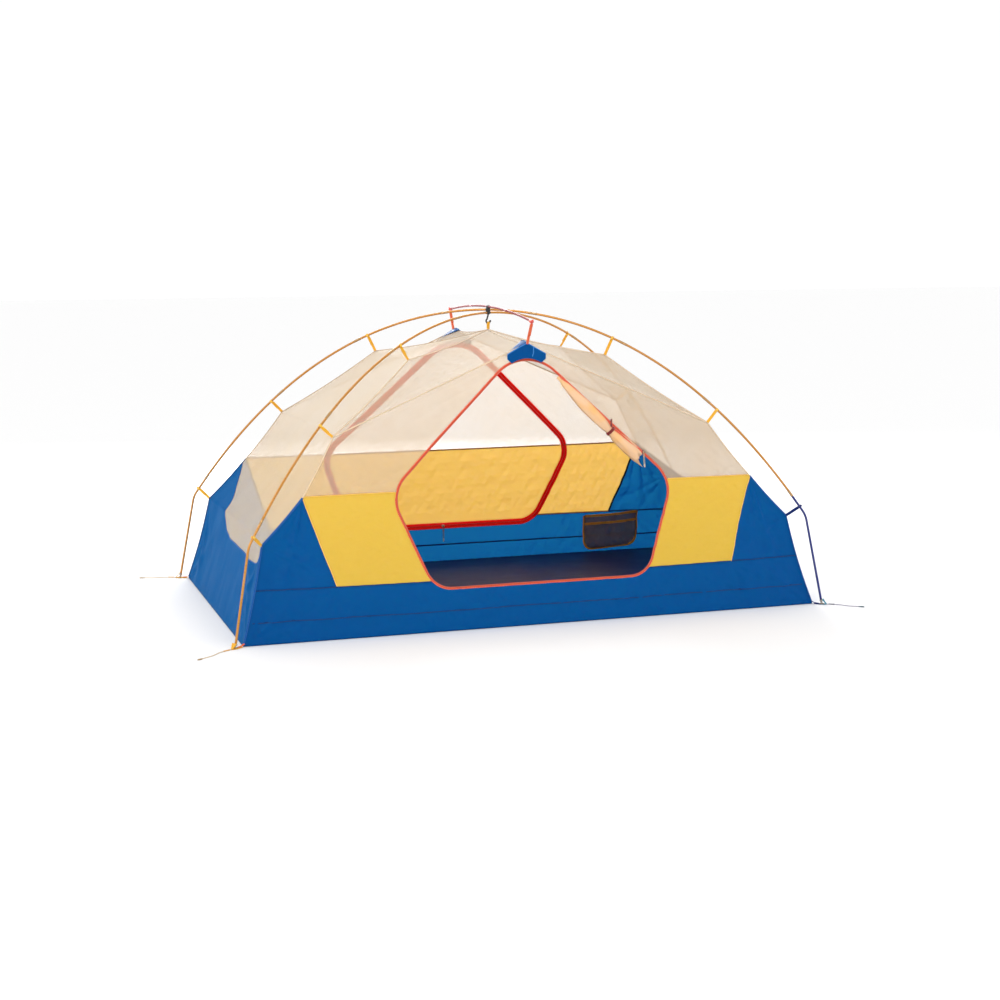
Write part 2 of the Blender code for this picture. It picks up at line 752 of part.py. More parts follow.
def build_clips():
    """Twelve hooks round the poles, each on a strap down to the corner seam."""
    anchors = (("low", LOW_ANCHOR), ("middle", MID_ANCHOR), ("high", HIGH_ANCHOR))
    for pole in ("a", "b"):
        turn = POLES[pole][0]
        for hand in (-1, 1):
            end = "back" if hand * turn > 0 else "front"
            corner = end + ("_left" if hand < 0 else "_right")
            for reach, (level, anchor) in zip(CLIP_REACHES, anchors):
                at = pole_point(pole, hand * reach)
                run = (pole_point(pole, hand * (reach - 0.01)) - at).normalized()
                seam = Vector((hand * anchor[1], hand * turn * anchor[2], anchor[0]))
                look = (BLUE, 0.7) if level == "low" and hand == 1 else (YELLOW, 0.7)
                hooked_strap(f"pole_clip_{level}_{corner}", at, run, seam, STRAP_WIDTH, look)


def build_ridge_straps():
    """Strap from each end of the ridge pole down to its brow, wrapped round the pole's end."""
    for side, word, _ in SIDES:
        at = Vector((0, side * RIDGE_GRIP, ridge_height(RIDGE_GRIP)))
        inner = Vector((0, side * (RIDGE_GRIP - 0.01), ridge_height(RIDGE_GRIP - 0.01)))
        brow = Vector((0, side * (BROW_TOP[1] + 2 * BROW_LIFT), BROW_TOP[2] + 2 * BROW_LIFT))
        run = (inner - at).normalized()
        hooked_strap("ridge_strap_" + word, at, run, brow, STRAP_WIDTH, (CORAL, 0.7))


# ---------------------------------------------------------------- corners and stake loops
def smooth_route(points, count):
    """Evenly numbered points on a smooth curve through the given ones."""
    ends = [points[0] * 2 - points[1]] + points + [points[-1] * 2 - points[-2]]
    spans = len(points) - 1
    route = []
    for step in range(count + 1):
        at = step / count * spans
        index = min(int(at), spans - 1)
        t = at - index
        p0, p1, p2, p3 = ends[index:index + 4]
        route.append((p1 * 2 + (p2 - p0) * t + (p0 * 2 - p1 * 5 + p2 * 4 - p3) * t ** 2
                      + (p1 * 3 - p0 - p2 * 3 + p3) * t ** 3) / 2)
    return route


def build_corners():
    """Webbing tab from each floor corner to under the pole's foot, and a cord for a stake."""
    for (hand, side), run in STAKE_RUNS.items():
        corner_name = ("front" if side < 0 else "back") + ("_left" if hand < 0 else "_right")
        look = (YELLOW if hand < 0 else TEAL, 0.7)
        level = Vector((0, 0, STRAP_THICK / 2 + TOUCH_GAP))
        foot = Vector((hand * FOOT[0], side * FOOT[1], 0)) + level
        corner = Vector((hand * FLOOR_LENGTH / 2, side * FLOOR_WIDTH / 2, 0)) + level
        outward = Vector((run[0], run[1], 0)).normalized()
        inward = (foot - corner).normalized()
        tab_end = foot + outward * TAB_REACH
        spots = (corner + inward * TAB_START, foot - inward * TAB_NECK, foot, tab_end)
        headings = (inward, inward, (inward + outward).normalized(), outward)
        grid = []
        for spot, heading, half in zip(spots, headings, TAB_HALVES):
            across = Vector((-heading.y, heading.x, 0)) * half
            grid.append([spot - across, spot + across])
        sheet("corner_tab_" + corner_name, [grid], look, STRAP_THICK)
        lie = Vector((0, 0, CORD_RADIUS + FIRST_KNOT_GAP - level.z))
        start = tab_end + outward * TOUCH_GAP + lie
        finish = foot + Vector((run[0], run[1], 0)) + lie
        sway = Vector((-outward.y, outward.x, 0)) * (CORD_SWAY * hand)
        third = (finish - start) / 3
        knots = [start, start + third + sway, start + third * 2 - sway * 0.6, finish]
        tube("stake_cord_" + corner_name, smooth_route(knots, CORD_STEPS), CORD_RADIUS, look)


# ---------------------------------------------------------------- door roll, ties and sliders
def build_roll():
    """The front door, rolled up along the right leg of its opening, and the toggle of its tie."""
    route = [wall_point(x, height, -1, ROLL_OUT) for x, height in ROLL_SPOTS]
    tube("rolled_front_door", smooth_route(route, ROLL_STEPS), ROLL_RADIUS, (MESH, 0.8), resolution=3)
    hang = wall_point(*TIE_SPOT, -1, ROLL_OUT + ROLL_RADIUS + TOGGLE_OUT)
    drop = Vector((0, 0, -TOGGLE_LENGTH))
    toggle = tube("door_toggle", [Vector((0, 0, 0)), drop / 2, drop], TOGGLE_RADIUS, (RED, 0.6))
    toggle.location = hang


def build_slider(name, at, along_track, normal, pull_length):
    """A zipper slider on its tape, and the cord pull that hangs from it on a hinge."""
    across = along_track.cross(normal).normalized()
    rise = CLOTH / 2 + TOUCH_GAP + SLIDER_SIZE[1] / 2
    centre = at + normal * rise
    body = box(name + "_slider", Vector((0, 0, 0)), along_track * (SLIDER_SIZE[2] / 2),
               across * (SLIDER_SIZE[0] / 2), normal * (SLIDER_SIZE[1] / 2), (BLACK, 0.4))
    body.location = centre
    pivot = at + normal * (rise + SLIDER_SIZE[1] / 2 + TOUCH_GAP + PULL_WIRE)
    down = Vector((0, 0, -1))
    down = (down - normal * down.dot(normal)).normalized()
    route = [Vector((0, 0, 0)), down * (pull_length * 0.5), down * pull_length]
    pull = tube(name + "_pull", route, PULL_WIRE, (CORAL, 0.7))
    pull.location = pivot


def tape_run(side, width, first):
    """Ends and normal of a straight run of zipper tape, from one outline point to the next."""
    inner = offset_outline(DOOR_OUTLINE, -width / 2)
    outer = offset_outline(DOOR_OUTLINE, width / 2)
    ends = []
    for index in (first, first + 1):
        low = wall_point(*inner[index], side)
        high = wall_point(*outer[index], side)
        ends.append(((low + high) / 2, high - low))
    (start, across), (end, _) = ends
    normal = (end - start).cross(across).normalized()
    return start, end, normal if normal.y < 0 else -normal


def build_sliders():
    """One slider on each door's tape: outside on the front, inside on the back."""
    runs = (("front", -1, FRONT_TAPE, LEG_RUN, FRONT_SLIDER_SHARE, FRONT_PULL),
            ("back", 1, BACK_TAPE, FOOT_RUN, BACK_SLIDER_SHARE, BACK_PULL))
    for word, side, width, first, share, pull_length in runs:
        start, end, normal = tape_run(side, width, first)
        track = (end - start).normalized()
        build_slider(word + "_zipper", start.lerp(end, share), track, normal, pull_length)


build_floor()
build_walls()
build_ends()
build_roof()
build_brows()
build_back_door()
build_zips()
build_pocket()
build_poles()
build_ridge()
build_hub()
build_clips()
build_ridge_straps()
build_corners()
build_roll()
build_sliders()
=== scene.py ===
import math

import bpy
import bmesh
import numpy as np
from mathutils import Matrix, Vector


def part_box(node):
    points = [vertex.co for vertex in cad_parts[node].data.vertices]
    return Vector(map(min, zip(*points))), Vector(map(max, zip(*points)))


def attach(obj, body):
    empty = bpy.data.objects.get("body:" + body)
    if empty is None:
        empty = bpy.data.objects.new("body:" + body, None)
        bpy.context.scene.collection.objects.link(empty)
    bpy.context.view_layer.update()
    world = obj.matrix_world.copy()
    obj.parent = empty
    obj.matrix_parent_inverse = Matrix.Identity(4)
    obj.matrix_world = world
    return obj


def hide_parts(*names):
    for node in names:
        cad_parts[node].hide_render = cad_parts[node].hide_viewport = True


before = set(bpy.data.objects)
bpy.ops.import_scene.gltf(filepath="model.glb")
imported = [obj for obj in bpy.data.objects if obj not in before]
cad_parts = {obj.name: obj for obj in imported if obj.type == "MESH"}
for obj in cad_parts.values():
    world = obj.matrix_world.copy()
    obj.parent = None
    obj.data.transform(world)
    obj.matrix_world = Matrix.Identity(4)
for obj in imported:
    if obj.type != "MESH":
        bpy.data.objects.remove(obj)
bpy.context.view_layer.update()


# ---------------------------------------------------------------------------
# The ground, the light and the camera: a pale floor, a soft sky all round, a broad key light in
# front on the left, and a larger light behind that shines through the cloth.
GROUND_TONE = 0.96
SKY_STRENGTH = 1.02
CAMERA_PLACE = (-2.1575, -6.6657, 1.4619)
CAMERA_HEADING = math.radians(-18.227)
CAMERA_DIP = math.radians(8.211)
CAMERA_ROLL = math.radians(0.108)
CAMERA_LENS = 63.42
CAMERA_SHIFT = (0.00305, -0.01984)


def principled(name):
    """A new material, its node tree and its Principled shader."""
    look = bpy.data.materials.new(name)
    look.use_nodes = True
    return look, look.node_tree, look.node_tree.nodes["Principled BSDF"]


def lay_ground():
    """A large pale square under the tent."""
    bpy.ops.mesh.primitive_plane_add(size=60, location=(0, 0, -0.0005))
    ground = bpy.context.active_object
    ground.name = "ground"
    paper, _, shader = principled("ground_paper")
    shader.inputs["Base Color"].default_value = (GROUND_TONE, GROUND_TONE, GROUND_TONE, 1)
    shader.inputs["Roughness"].default_value = 0.9
    ground.data.materials.append(paper)


def soft_light(name, place, aim, size, power):
    """A square area light at a place, turned to face a point."""
    data = bpy.data.lights.new(name, "AREA")
    data.size = size
    data.energy = power
    lamp = bpy.data.objects.new(name, data)
    lamp.location = place
    lamp.rotation_euler = (Vector(aim) - Vector(place)).to_track_quat("-Z", "Y").to_euler()
    bpy.context.scene.collection.objects.link(lamp)


def light_and_camera():
    """The sky, the key light, the back light and the camera."""
    world = bpy.data.worlds.new("studio")
    world.use_nodes = True
    world.node_tree.nodes["Background"].inputs["Color"].default_value = (1, 1, 1, 1)
    world.node_tree.nodes["Background"].inputs["Strength"].default_value = SKY_STRENGTH
    bpy.context.scene.world = world
    bpy.context.scene.view_settings.view_transform = "Standard"
    soft_light("key", (-3.4, -4.2, 3.6), (0, 0, 0.4), 1.8, 60)
    soft_light("back", (0.8, 4.2, 2.2), (0, 0.5, 0.5), 2.5, 140)
    data = bpy.data.cameras.new("camera")
    data.lens = CAMERA_LENS
    data.shift_x, data.shift_y = CAMERA_SHIFT
    camera = bpy.data.objects.new("camera", data)
    camera.location = CAMERA_PLACE
    camera.rotation_mode = "XYZ"
    camera.rotation_euler = (math.pi / 2 - CAMERA_DIP, CAMERA_ROLL, CAMERA_HEADING)
    bpy.context.scene.collection.objects.link(camera)
    bpy.context.scene.camera = camera


lay_ground()
light_and_camera()


# ---------------------------------------------------------------------------
# Stake cords: a thin braided cord from each corner tab, lying on the ground, with the small
# loop a stake goes through knotted in its end.  Cream at the left end, lavender at the right.
CORD_WIDTH = 0.003
FOOT = (1.149, 0.667)
TAB_REACH = 0.020
TOUCH_GAP = 0.0004
TAB_LEVEL = 0.0012
CORD_STEPS = 22
END_WIRE = 0.0014
SLEEVE_RADIUS = 0.0019
STAKE_RUNS = {("left", "front"): (-0.134, -0.112), ("left", "back"): (-0.146, 0.036),
              ("right", "front"): (0.112, -0.092), ("right", "back"): (0.134, 0.060)}
CORD_COLOURS = {"left": (0.80, 0.62, 0.40), "right": (0.36, 0.32, 0.42)}
END_COLOURS = {"left": (0.50, 0.32, 0.13), "right": (0.010, 0.075, 0.12)}
SLEEVE_COLOURS = {"left": (0.86, 0.44, 0.07), "right": (0.035, 0.020, 0.085)}
HANDS = {"left": -1, "right": 1}
SIDES = {"front": -1, "back": 1}


def surface(name, grids, look=None, thickness=0.0):
    """A mesh from grids of points: each grid is an array rows x columns x 3, a function of two
    parameters sampled evenly.  Neighbouring samples are joined by four-sided faces.  The UV map
    holds the distance in metres along the rows and along the columns."""
    points, faces, uvs = [], [], []
    first = 0
    for grid in grids:
        grid = np.asarray(grid, float)
        rows, columns = grid.shape[:2]
        along = np.linalg.norm(np.diff(grid, axis=1), axis=2)
        across = np.linalg.norm(np.diff(grid, axis=0), axis=2)
        u = np.concatenate([np.zeros((rows, 1)), np.cumsum(along, axis=1)], axis=1)
        v = np.concatenate([np.zeros((1, columns)), np.cumsum(across, axis=0)], axis=0)
        number = np.arange(rows * columns).reshape(rows, columns)
        quads = np.stack([number[:-1, :-1], number[:-1, 1:], number[1:, 1:], number[1:, :-1]], -1)
        quads = quads.reshape(-1, 4)
        points.append(grid.reshape(-1, 3))
        faces.append(quads + first)
        uvs.append(np.stack([u, v], -1).reshape(-1, 2)[quads.reshape(-1)])
        first += rows * columns
    mesh = bpy.data.meshes.new(name)
    mesh.from_pydata(np.concatenate(points), [], np.concatenate(faces))
    layer = mesh.uv_layers.new(name="cloth")
    layer.data.foreach_set("uv", np.concatenate(uvs).astype(np.float32).reshape(-1))
    work = bmesh.new()
    work.from_mesh(mesh)
    bmesh.ops.remove_doubles(work, verts=work.verts, dist=0.00002)
    bmesh.ops.dissolve_degenerate(work, edges=work.edges, dist=0.000001)
    bmesh.ops.recalc_face_normals(work, faces=work.faces)
    work.to_mesh(mesh)
    work.free()
    mesh.shade_smooth()
    piece = bpy.data.objects.new(name, mesh)
    bpy.context.scene.collection.objects.link(piece)
    if look:
        mesh.materials.append(look)
    if thickness:
        shell = piece.modifiers.new("thickness", "SOLIDIFY")
        shell.thickness = thickness
        shell.offset = 0
    return piece


def smooth_route(knots, count):
    """Points on a smooth curve through the knots: on each span a cubic whose slope at a knot is
    half the step between that knot's two neighbours."""
    knots = np.asarray(knots, float)
    ends = np.vstack([2 * knots[0] - knots[1], knots, 2 * knots[-1] - knots[-2]])
    at = np.linspace(0, len(knots) - 1, count)
    span = np.minimum(at.astype(int), len(knots) - 2)
    t = (at - span)[:, None]
    a, b, c, d = (ends[span + k] for k in range(4))
    return (2 * b + (c - a) * t + (2 * a - 5 * b + 4 * c - d) * t ** 2 + (3 * b - a - 3 * c + d) * t ** 3) / 2


def carried(path, section, widths=None, facing=(0, 0, 1), closed=False):
    """Grid of a closed section carried along a path.  The section's first axis lies across the
    path and its second along the path's normal, the part of `facing` square to the path."""
    path = np.asarray(path, float)
    section = np.asarray(section, float)
    if closed:
        tangent = np.roll(path, -1, 0) - np.roll(path, 1, 0)
    else:
        tangent = np.gradient(path, axis=0)
    tangent /= np.linalg.norm(tangent, axis=1)[:, None]
    facing = np.broadcast_to(np.asarray(facing, float), path.shape)
    normal = facing - (facing * tangent).sum(1)[:, None] * tangent
    normal /= np.linalg.norm(normal, axis=1)[:, None]
    side = np.cross(tangent, normal)
    scale = np.ones(len(path)) if widths is None else np.asarray(widths, float)
    ring = section[None, :, :] * scale[:, None, None]
    grid = path[:, None] + side[:, None] * ring[..., :1] + normal[:, None] * ring[..., 1:]
    if closed:
        grid = np.concatenate([grid, grid[:1]])
    return grid


def round_section(radius, sides=12):
    """Closed circle as a section; its last point repeats the first."""
    turn = np.linspace(0, 2 * math.pi, sides + 1)
    return np.stack([radius * np.cos(turn), radius * np.sin(turn)], -1)


def capped(grid):
    """The grid with one more row at each end, drawn to the middle of its end ring."""
    ends = [np.broadcast_to(grid[i].mean(0), grid[i].shape)[None] for i in (0, -1)]
    return np.concatenate([ends[0], grid, ends[1]])


def tube_grid(route, radius, facing=(0, 0, 1), sides=16, closed=False):
    """Grid of a round bar along a route, joined up as a ring or capped at both ends."""
    grid = carried(route, round_section(radius, sides), None, facing, closed)
    return grid if closed else capped(grid)


def rod(name, paths, radius, look, sides=12, facing=(0, 0, 1), closed=False):
    """Round bars along paths as one mesh."""
    return surface(name, [tube_grid(path, radius, facing, sides, closed) for path in paths], look)


def placed(piece, node=None, body="tent"):
    """Ride a piece on a body and, if a node is given, hide that node's part so the piece stands in for it."""
    if node:
        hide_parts(node)
    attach(piece, body)
    return piece


def feed(tree, socket, value):
    """Set a socket to a number or colour, or link another socket to it."""
    if isinstance(value, (int, float, tuple)):
        socket.default_value = value
    else:
        tree.links.new(value, socket)


def node_math(tree, kind, *values):
    """A Math node fed with sockets or numbers; returns its output."""
    node = tree.nodes.new("ShaderNodeMath")
    node.operation = kind
    for socket, value in zip(node.inputs, values):
        feed(tree, socket, value)
    return node.outputs[0]


def times(tree, one, two):
    """Two sockets or numbers multiplied."""
    return node_math(tree, "MULTIPLY", one, two)


def plus(tree, one, two):
    """Two sockets or numbers added."""
    return node_math(tree, "ADD", one, two)


def noise(tree, scale, detail=2):
    """Smooth noise over Object coordinates."""
    node = tree.nodes.new("ShaderNodeTexNoise")
    node.inputs["Scale"].default_value = scale
    node.inputs["Detail"].default_value = detail
    feed(tree, node.inputs["Vector"], tree.nodes.new("ShaderNodeTexCoord").outputs["Object"])
    return node.outputs["Fac"]


def cloth_place(tree):
    """The two distances in a piece's UV map, in metres along its rows and along its columns."""
    split = tree.nodes.new("ShaderNodeSeparateXYZ")
    feed(tree, split.inputs[0], tree.nodes.new("ShaderNodeTexCoord").outputs["UV"])
    return split.outputs[:2]


def shade(tree, colour, value, saturation=1.0):
    """A colour made paler or darker, and stronger or duller."""
    node = tree.nodes.new("ShaderNodeHueSaturation")
    node.inputs["Value"].default_value = value
    node.inputs["Saturation"].default_value = saturation
    feed(tree, node.inputs["Color"], colour)
    return node.outputs[0]


def raised(tree, height, distance, strength):
    """The normal of a surface raised by a height."""
    node = tree.nodes.new("ShaderNodeBump")
    node.inputs["Distance"].default_value = distance
    feed(tree, node.inputs["Strength"], strength)
    feed(tree, node.inputs["Height"], height)
    return node.outputs[0]


def new_group(name, inputs, outputs):
    """An empty shader node group with named sockets: its tree, its inputs and its outputs."""
    tree = bpy.data.node_groups.new(name, "ShaderNodeTree")
    for label, kind, start in inputs:
        socket = tree.interface.new_socket(label, in_out="INPUT", socket_type="NodeSocket" + kind)
        socket.default_value = start
    for label, kind in outputs:
        tree.interface.new_socket(label, in_out="OUTPUT", socket_type="NodeSocket" + kind)
    return tree, tree.nodes.new("NodeGroupInput").outputs, tree.nodes.new("NodeGroupOutput").inputs


def use_group(tree, shader, group, values, links):
    """Place a group in a material, set its inputs, and link its outputs to the shader."""
    node = tree.nodes.new("ShaderNodeGroup")
    node.node_tree = group
    for label, value in values.items():
        node.inputs[label].default_value = value
    for label, socket in links.items():
        tree.links.new(node.outputs[label], shader.inputs[socket])


def mixed_colour(tree, share, low, high):
    """A colour mix of two sockets or colours by a share."""
    node = tree.nodes.new("ShaderNodeMix")
    node.data_type = "RGBA"
    for number, value in ((0, share), (6, low), (7, high)):
        feed(tree, node.inputs[number], value)
    return node.outputs[2]


def weave_group():
    """Cloth woven from two threads: height and shade rise and fall as the product of two sines
    of the distance along the cloth, with a heavier thread every few millimetres and a slow
    unevenness of dye."""
    tree, inside, outside = new_group(
        "weave",
        (("Colour", "Color", (1, 1, 1, 1)), ("Thread", "Float", 0.0006), ("Grid", "Float", 0.005),
         ("Grid Strength", "Float", 0.4), ("Roughness", "Float", 0.5), ("Depth", "Float", 0.3),
         ("Uneven", "Float", 0.12)),
        (("Colour", "Color"), ("Roughness", "Float"), ("Normal", "Vector")))
    place = cloth_place(tree)
    turn = node_math(tree, "DIVIDE", 2 * math.pi, inside["Thread"])
    warp, weft = (node_math(tree, "SINE", times(tree, distance, turn)) for distance in place)
    thread = times(tree, warp, weft)
    lines = []
    for distance in place:
        cell = node_math(tree, "FRACT", node_math(tree, "DIVIDE", distance, inside["Grid"]))
        lines.append(node_math(tree, "LESS_THAN", cell, 0.12))
    grid = times(tree, node_math(tree, "MAXIMUM", *lines), inside["Grid Strength"])
    slow = noise(tree, 7, 3)
    fleck = times(tree, plus(tree, thread, 1), 0.06)
    share = plus(tree, times(tree, slow, inside["Uneven"]), fleck)
    share = plus(tree, share, times(tree, grid, 0.16))
    dark = shade(tree, inside["Colour"], 0.62)
    feed(tree, outside["Colour"], mixed_colour(tree, share, inside["Colour"], dark))
    rough = times(tree, node_math(tree, "SUBTRACT", slow, 0.5), 0.16)
    feed(tree, outside["Roughness"], plus(tree, inside["Roughness"], rough))
    feed(tree, outside["Normal"], raised(tree, plus(tree, thread, grid), 0.0004, inside["Depth"]))
    return tree


WEAVE = weave_group()


def let_through(shader, glow):
    """Light scatters through thin cloth: a mean free path longer than the cloth is thick."""
    shader.inputs["Subsurface Weight"].default_value = glow
    shader.inputs["Subsurface Radius"].default_value = (1, 1, 1)
    shader.inputs["Subsurface Scale"].default_value = 0.004


def cloth_look(name, colour, roughness=0.5, thread=0.0006, grid=0.005, grid_strength=0.4, depth=0.3,
               uneven=0.12, sheen=0.0, specular=0.5, glow=0.0):
    """A Principled material on the weave group; glow is how much light comes through the cloth."""
    look, tree, shader = principled(name)
    values = {"Colour": (*colour, 1), "Roughness": roughness, "Thread": thread, "Grid": grid,
              "Grid Strength": grid_strength, "Depth": depth, "Uneven": uneven}
    use_group(tree, shader, WEAVE, values,
              {"Colour": "Base Color", "Roughness": "Roughness", "Normal": "Normal"})
    shader.inputs["Sheen Weight"].default_value = sheen
    shader.inputs["Specular IOR Level"].default_value = specular
    let_through(shader, glow)
    return look


def webbing_look(name, colour):
    """Narrow woven tape: coarse thread, no grid."""
    return cloth_look(name, colour, roughness=0.75, thread=0.0016, grid=0.02, grid_strength=0.0,
                      depth=0.8, uneven=0.10, sheen=0.2)


BRAID = {hand: webbing_look(hand + "_braid", CORD_COLOURS[hand]) for hand in HANDS}
CORD_END = {hand: webbing_look(hand + "_cord_end", END_COLOURS[hand]) for hand in HANDS}
SLEEVE = {hand: webbing_look(hand + "_sleeve", SLEEVE_COLOURS[hand]) for hand in HANDS}


def stake_cords():
    """Each cord on its route, with a sleeve at its start and a knot and a loop at its end, both
    drawn as ellipses in the plane of the ground."""
    for (hand, side), run in STAKE_RUNS.items():
        corner = f"{side}_{hand}"
        foot = np.array([HANDS[hand] * FOOT[0], SIDES[side] * FOOT[1], TAB_LEVEL])
        outward = np.array([*run, 0.0]) / math.hypot(*run)
        across = np.array([-outward[1], outward[0], 0.0])
        lie = np.array([0, 0, CORD_WIDTH / 2 + 0.0001 - TAB_LEVEL])
        start = foot + outward * (TAB_REACH + TOUCH_GAP) + lie
        finish = foot + np.array([*run, 0.0]) + lie
        sway = across * 0.006 * HANDS[hand]
        third = (finish - start) / 3
        route = smooth_route([start, start + third + sway, start + 2 * third - sway * 0.6, finish],
                             CORD_STEPS + 1)
        cord = rod("stake_cord_" + corner + "_braid", [route], CORD_WIDTH / 2, BRAID[hand], sides=10)
        turn = np.linspace(0, 2 * math.pi, 24, endpoint=False)[:, None]
        knot = finish + outward * 0.002 * np.cos(turn) + across * 0.0026 * np.sin(turn)
        knot_piece = rod("stake_knot_" + corner, [knot], END_WIRE, CORD_END[hand], sides=8, closed=True)
        turn = np.linspace(0.25, 2 * math.pi - 0.25, 28)[:, None]
        loop = finish + outward * (0.0105 - 0.0085 * np.cos(turn)) + across * 0.0042 * np.sin(turn)
        loop_piece = rod("stake_loop_" + corner, [loop], END_WIRE, CORD_END[hand], sides=8)
        sleeve = rod("stake_sleeve_" + corner, [route[1:6] + np.array((0, 0, 0.0004))], SLEEVE_RADIUS,
                     SLEEVE[hand], sides=10)
        placed(cord, "stake_cord_" + corner)
        for piece in (knot_piece, loop_piece, sleeve):
            placed(piece)


stake_cords()


# ---------------------------------------------------------------------------
# Floor: one rectangle of coated navy cloth laid on the ground, hemmed into the walls all
# round.  It lies in low creases where it was folded and where people have knelt.
FLOOR_LENGTH = 2.235
FLOOR_WIDTH = 1.30
FLOOR_REST = 0.0014
FLOOR_CREASE = 0.0011
FLOOR_HEM = 0.004
NAVY = (0.007, 0.020, 0.105)


def ramp(value, reach):
    """A share that rises evenly from 0 to 1 over a reach and then stays."""
    return np.clip(value / reach, 0, 1)


def crumple(first, second, seed, depth, longest=0.16, shortest=0.035, waves=14):
    """Soft random creasing of cloth: the sum of sine waves in random directions, each as high as
    it is long, folded so that their crests are sharper than their troughs."""
    random = np.random.default_rng(seed)
    total = np.zeros(np.broadcast(first, second).shape)
    for wave in np.geomspace(longest, shortest, waves):
        turn, phase = random.uniform(0, 2 * math.pi, 2)
        swing = np.sin((first * math.cos(turn) + second * math.sin(turn)) * 2 * math.pi / wave + phase)
        total += (1 - 2 * np.abs(swing) ** 1.4) * wave / longest
    return total * depth / 2.5


def panel(name, grids, look, finish, node=None, flat=None, held="stretched", thickness=0.0009, **more):
    """A sewn panel: a sheet with its cloth's thickness, on the tent."""
    piece = placed(surface(name, grids, look, thickness), node)
    return piece


def make_floor():
    """The floor's mesh and cloth."""
    x, y = np.meshgrid(np.linspace(-1, 1, 181) * (FLOOR_LENGTH / 2 - 0.001),
                       np.linspace(-1, 1, 101) * (FLOOR_WIDTH / 2 - 0.001))
    inside = np.minimum(FLOOR_LENGTH / 2 - np.abs(x), FLOOR_WIDTH / 2 - np.abs(y))
    lift = np.abs(crumple(x, y, 3, FLOOR_CREASE, 0.5, 0.08)) * ramp(inside, 0.1)
    turned_up = FLOOR_HEM * np.clip(1 - inside / 0.012, 0, 1) ** 2
    grid = np.stack([x, y, FLOOR_REST + lift + turned_up], -1)
    look = cloth_look("floor_cloth", NAVY, roughness=0.46, thread=0.0005, grid=0.004, depth=0.2,
                      specular=0.25)
    panel("groundsheet", [grid], look, "floor_cloth", "floor", (FLOOR_LENGTH, FLOOR_WIDTH), "laid")


make_floor()


# ---------------------------------------------------------------------------
# The long walls' lower cloth: royal blue coated polyester, a strip from end to end along the
# ground and a corner piece at each end that runs up to a point on the corner seam.  The cloth
# is pulled tight between the stakes and the clips, so folds fan out from its corners.
PEAK = 1.056
CORNER_SEAM = np.array(((0.0, 1.1175, 0.65), (0.344, 1.031, 0.580), (0.505, 0.879, 0.566),
                        (0.707, 0.742, 0.466), (0.963, 0.398, 0.253), (PEAK, 0.0, 0.0)))
SEAM_SCOOP = np.array((0.007, 0.003, 0.004, 0.007, 0.010))
BROW_CORNER = (0.088, 0.457, 0.987)
BROW_TOP = (0.0, 0.461, 1.027)
WALL_PROFILE = np.array(((0.0, 0.650), (0.17, 0.655), (0.50, 0.558), (0.965, 0.455), (1.06, 0.455)))
PROFILE_ROUND = 0.02
WALL_FULLNESS = 3
YELLOW_TOP = 0.508
YELLOW_FOOT = 0.188
YELLOW_FOOT_X = 0.772
WALL_FOOT = 0.0012
BLUE = (0.0, 0.085, 0.31)
# The back wall's blue is the front's cloth with less green and more blue: a painted colour shift that cancels
# the yellow light bounced onto it inside.
BLUE_BACK_LIGHT_CORRECTED = (0.002, 0.079, 0.36)
# The ends' blue is the same cloth with its colour tuned to how the ends are lit: a painted lit copy.
BLUE_END_LIT_COPY = (0.003, 0.090, 0.29)


def seam_line():
    """Points up a corner seam as height, x, y: straight between the clips' anchors, then drawn
    inwards, square to each span, by its scoop times the sine of pi times the share of the span."""
    at = np.linspace(0, 5, 501)
    span = np.minimum(at.astype(int), 4)
    share = (at - span)[:, None]
    line = CORNER_SEAM[span] * (1 - share) + CORNER_SEAM[span + 1] * share
    step = CORNER_SEAM[span + 1] - CORNER_SEAM[span]
    reach = np.hypot(step[:, 1], step[:, 2])
    scoop = SEAM_SCOOP[span] * np.sin(math.pi * share[:, 0]) / np.hypot(step[:, 0], reach)
    line[:, 0] -= scoop * reach
    line[:, 1:] += (scoop * step[:, 0] / np.maximum(reach, 1e-6))[:, None] * step[:, 1:]
    return line


SEAM = seam_line()


def seam_at(height):
    """Half length and half width of the tent on the corner seam at a height."""
    return np.interp(height, SEAM[:, 0], SEAM[:, 1]), np.interp(height, SEAM[:, 0], SEAM[:, 2])


def wall_edge(height):
    """Edge of a long wall at a height: the corner seam up to the middle clip, then the crease to
    the corner of the brow, then the brow's own edge."""
    knots = (CORNER_SEAM[3, 0], BROW_CORNER[2], BROW_TOP[2])
    x, y = seam_at(height)
    high_x = np.interp(height, knots, (CORNER_SEAM[3, 1], BROW_CORNER[0], BROW_TOP[0]))
    high_y = np.interp(height, knots, (CORNER_SEAM[3, 2], BROW_CORNER[1], BROW_TOP[1]))
    upper = height > knots[0]
    return np.where(upper, high_x, x), np.where(upper, high_y, y)


def fan(first, second, anchor, aim, spread, count, reach, depth):
    """Folds that fan out from an anchor point: a cosine of the angle from the aim, highest at the
    reach from the anchor and dying away beyond it and outside the spread."""
    one = first - anchor[0]
    two = second - anchor[1]
    away = np.hypot(one, two)
    angle = np.arctan2(aim[0] * two - aim[1] * one, aim[0] * one + aim[1] * two)
    wave = 1 - 2 * np.abs(np.sin(count * angle * (1 + 0.12 * np.sin(5 * angle + count)) / 2)) ** 1.2
    return depth * wave * np.exp(-(angle / spread) ** 2) * (away / reach) * np.exp(1 - away / reach)


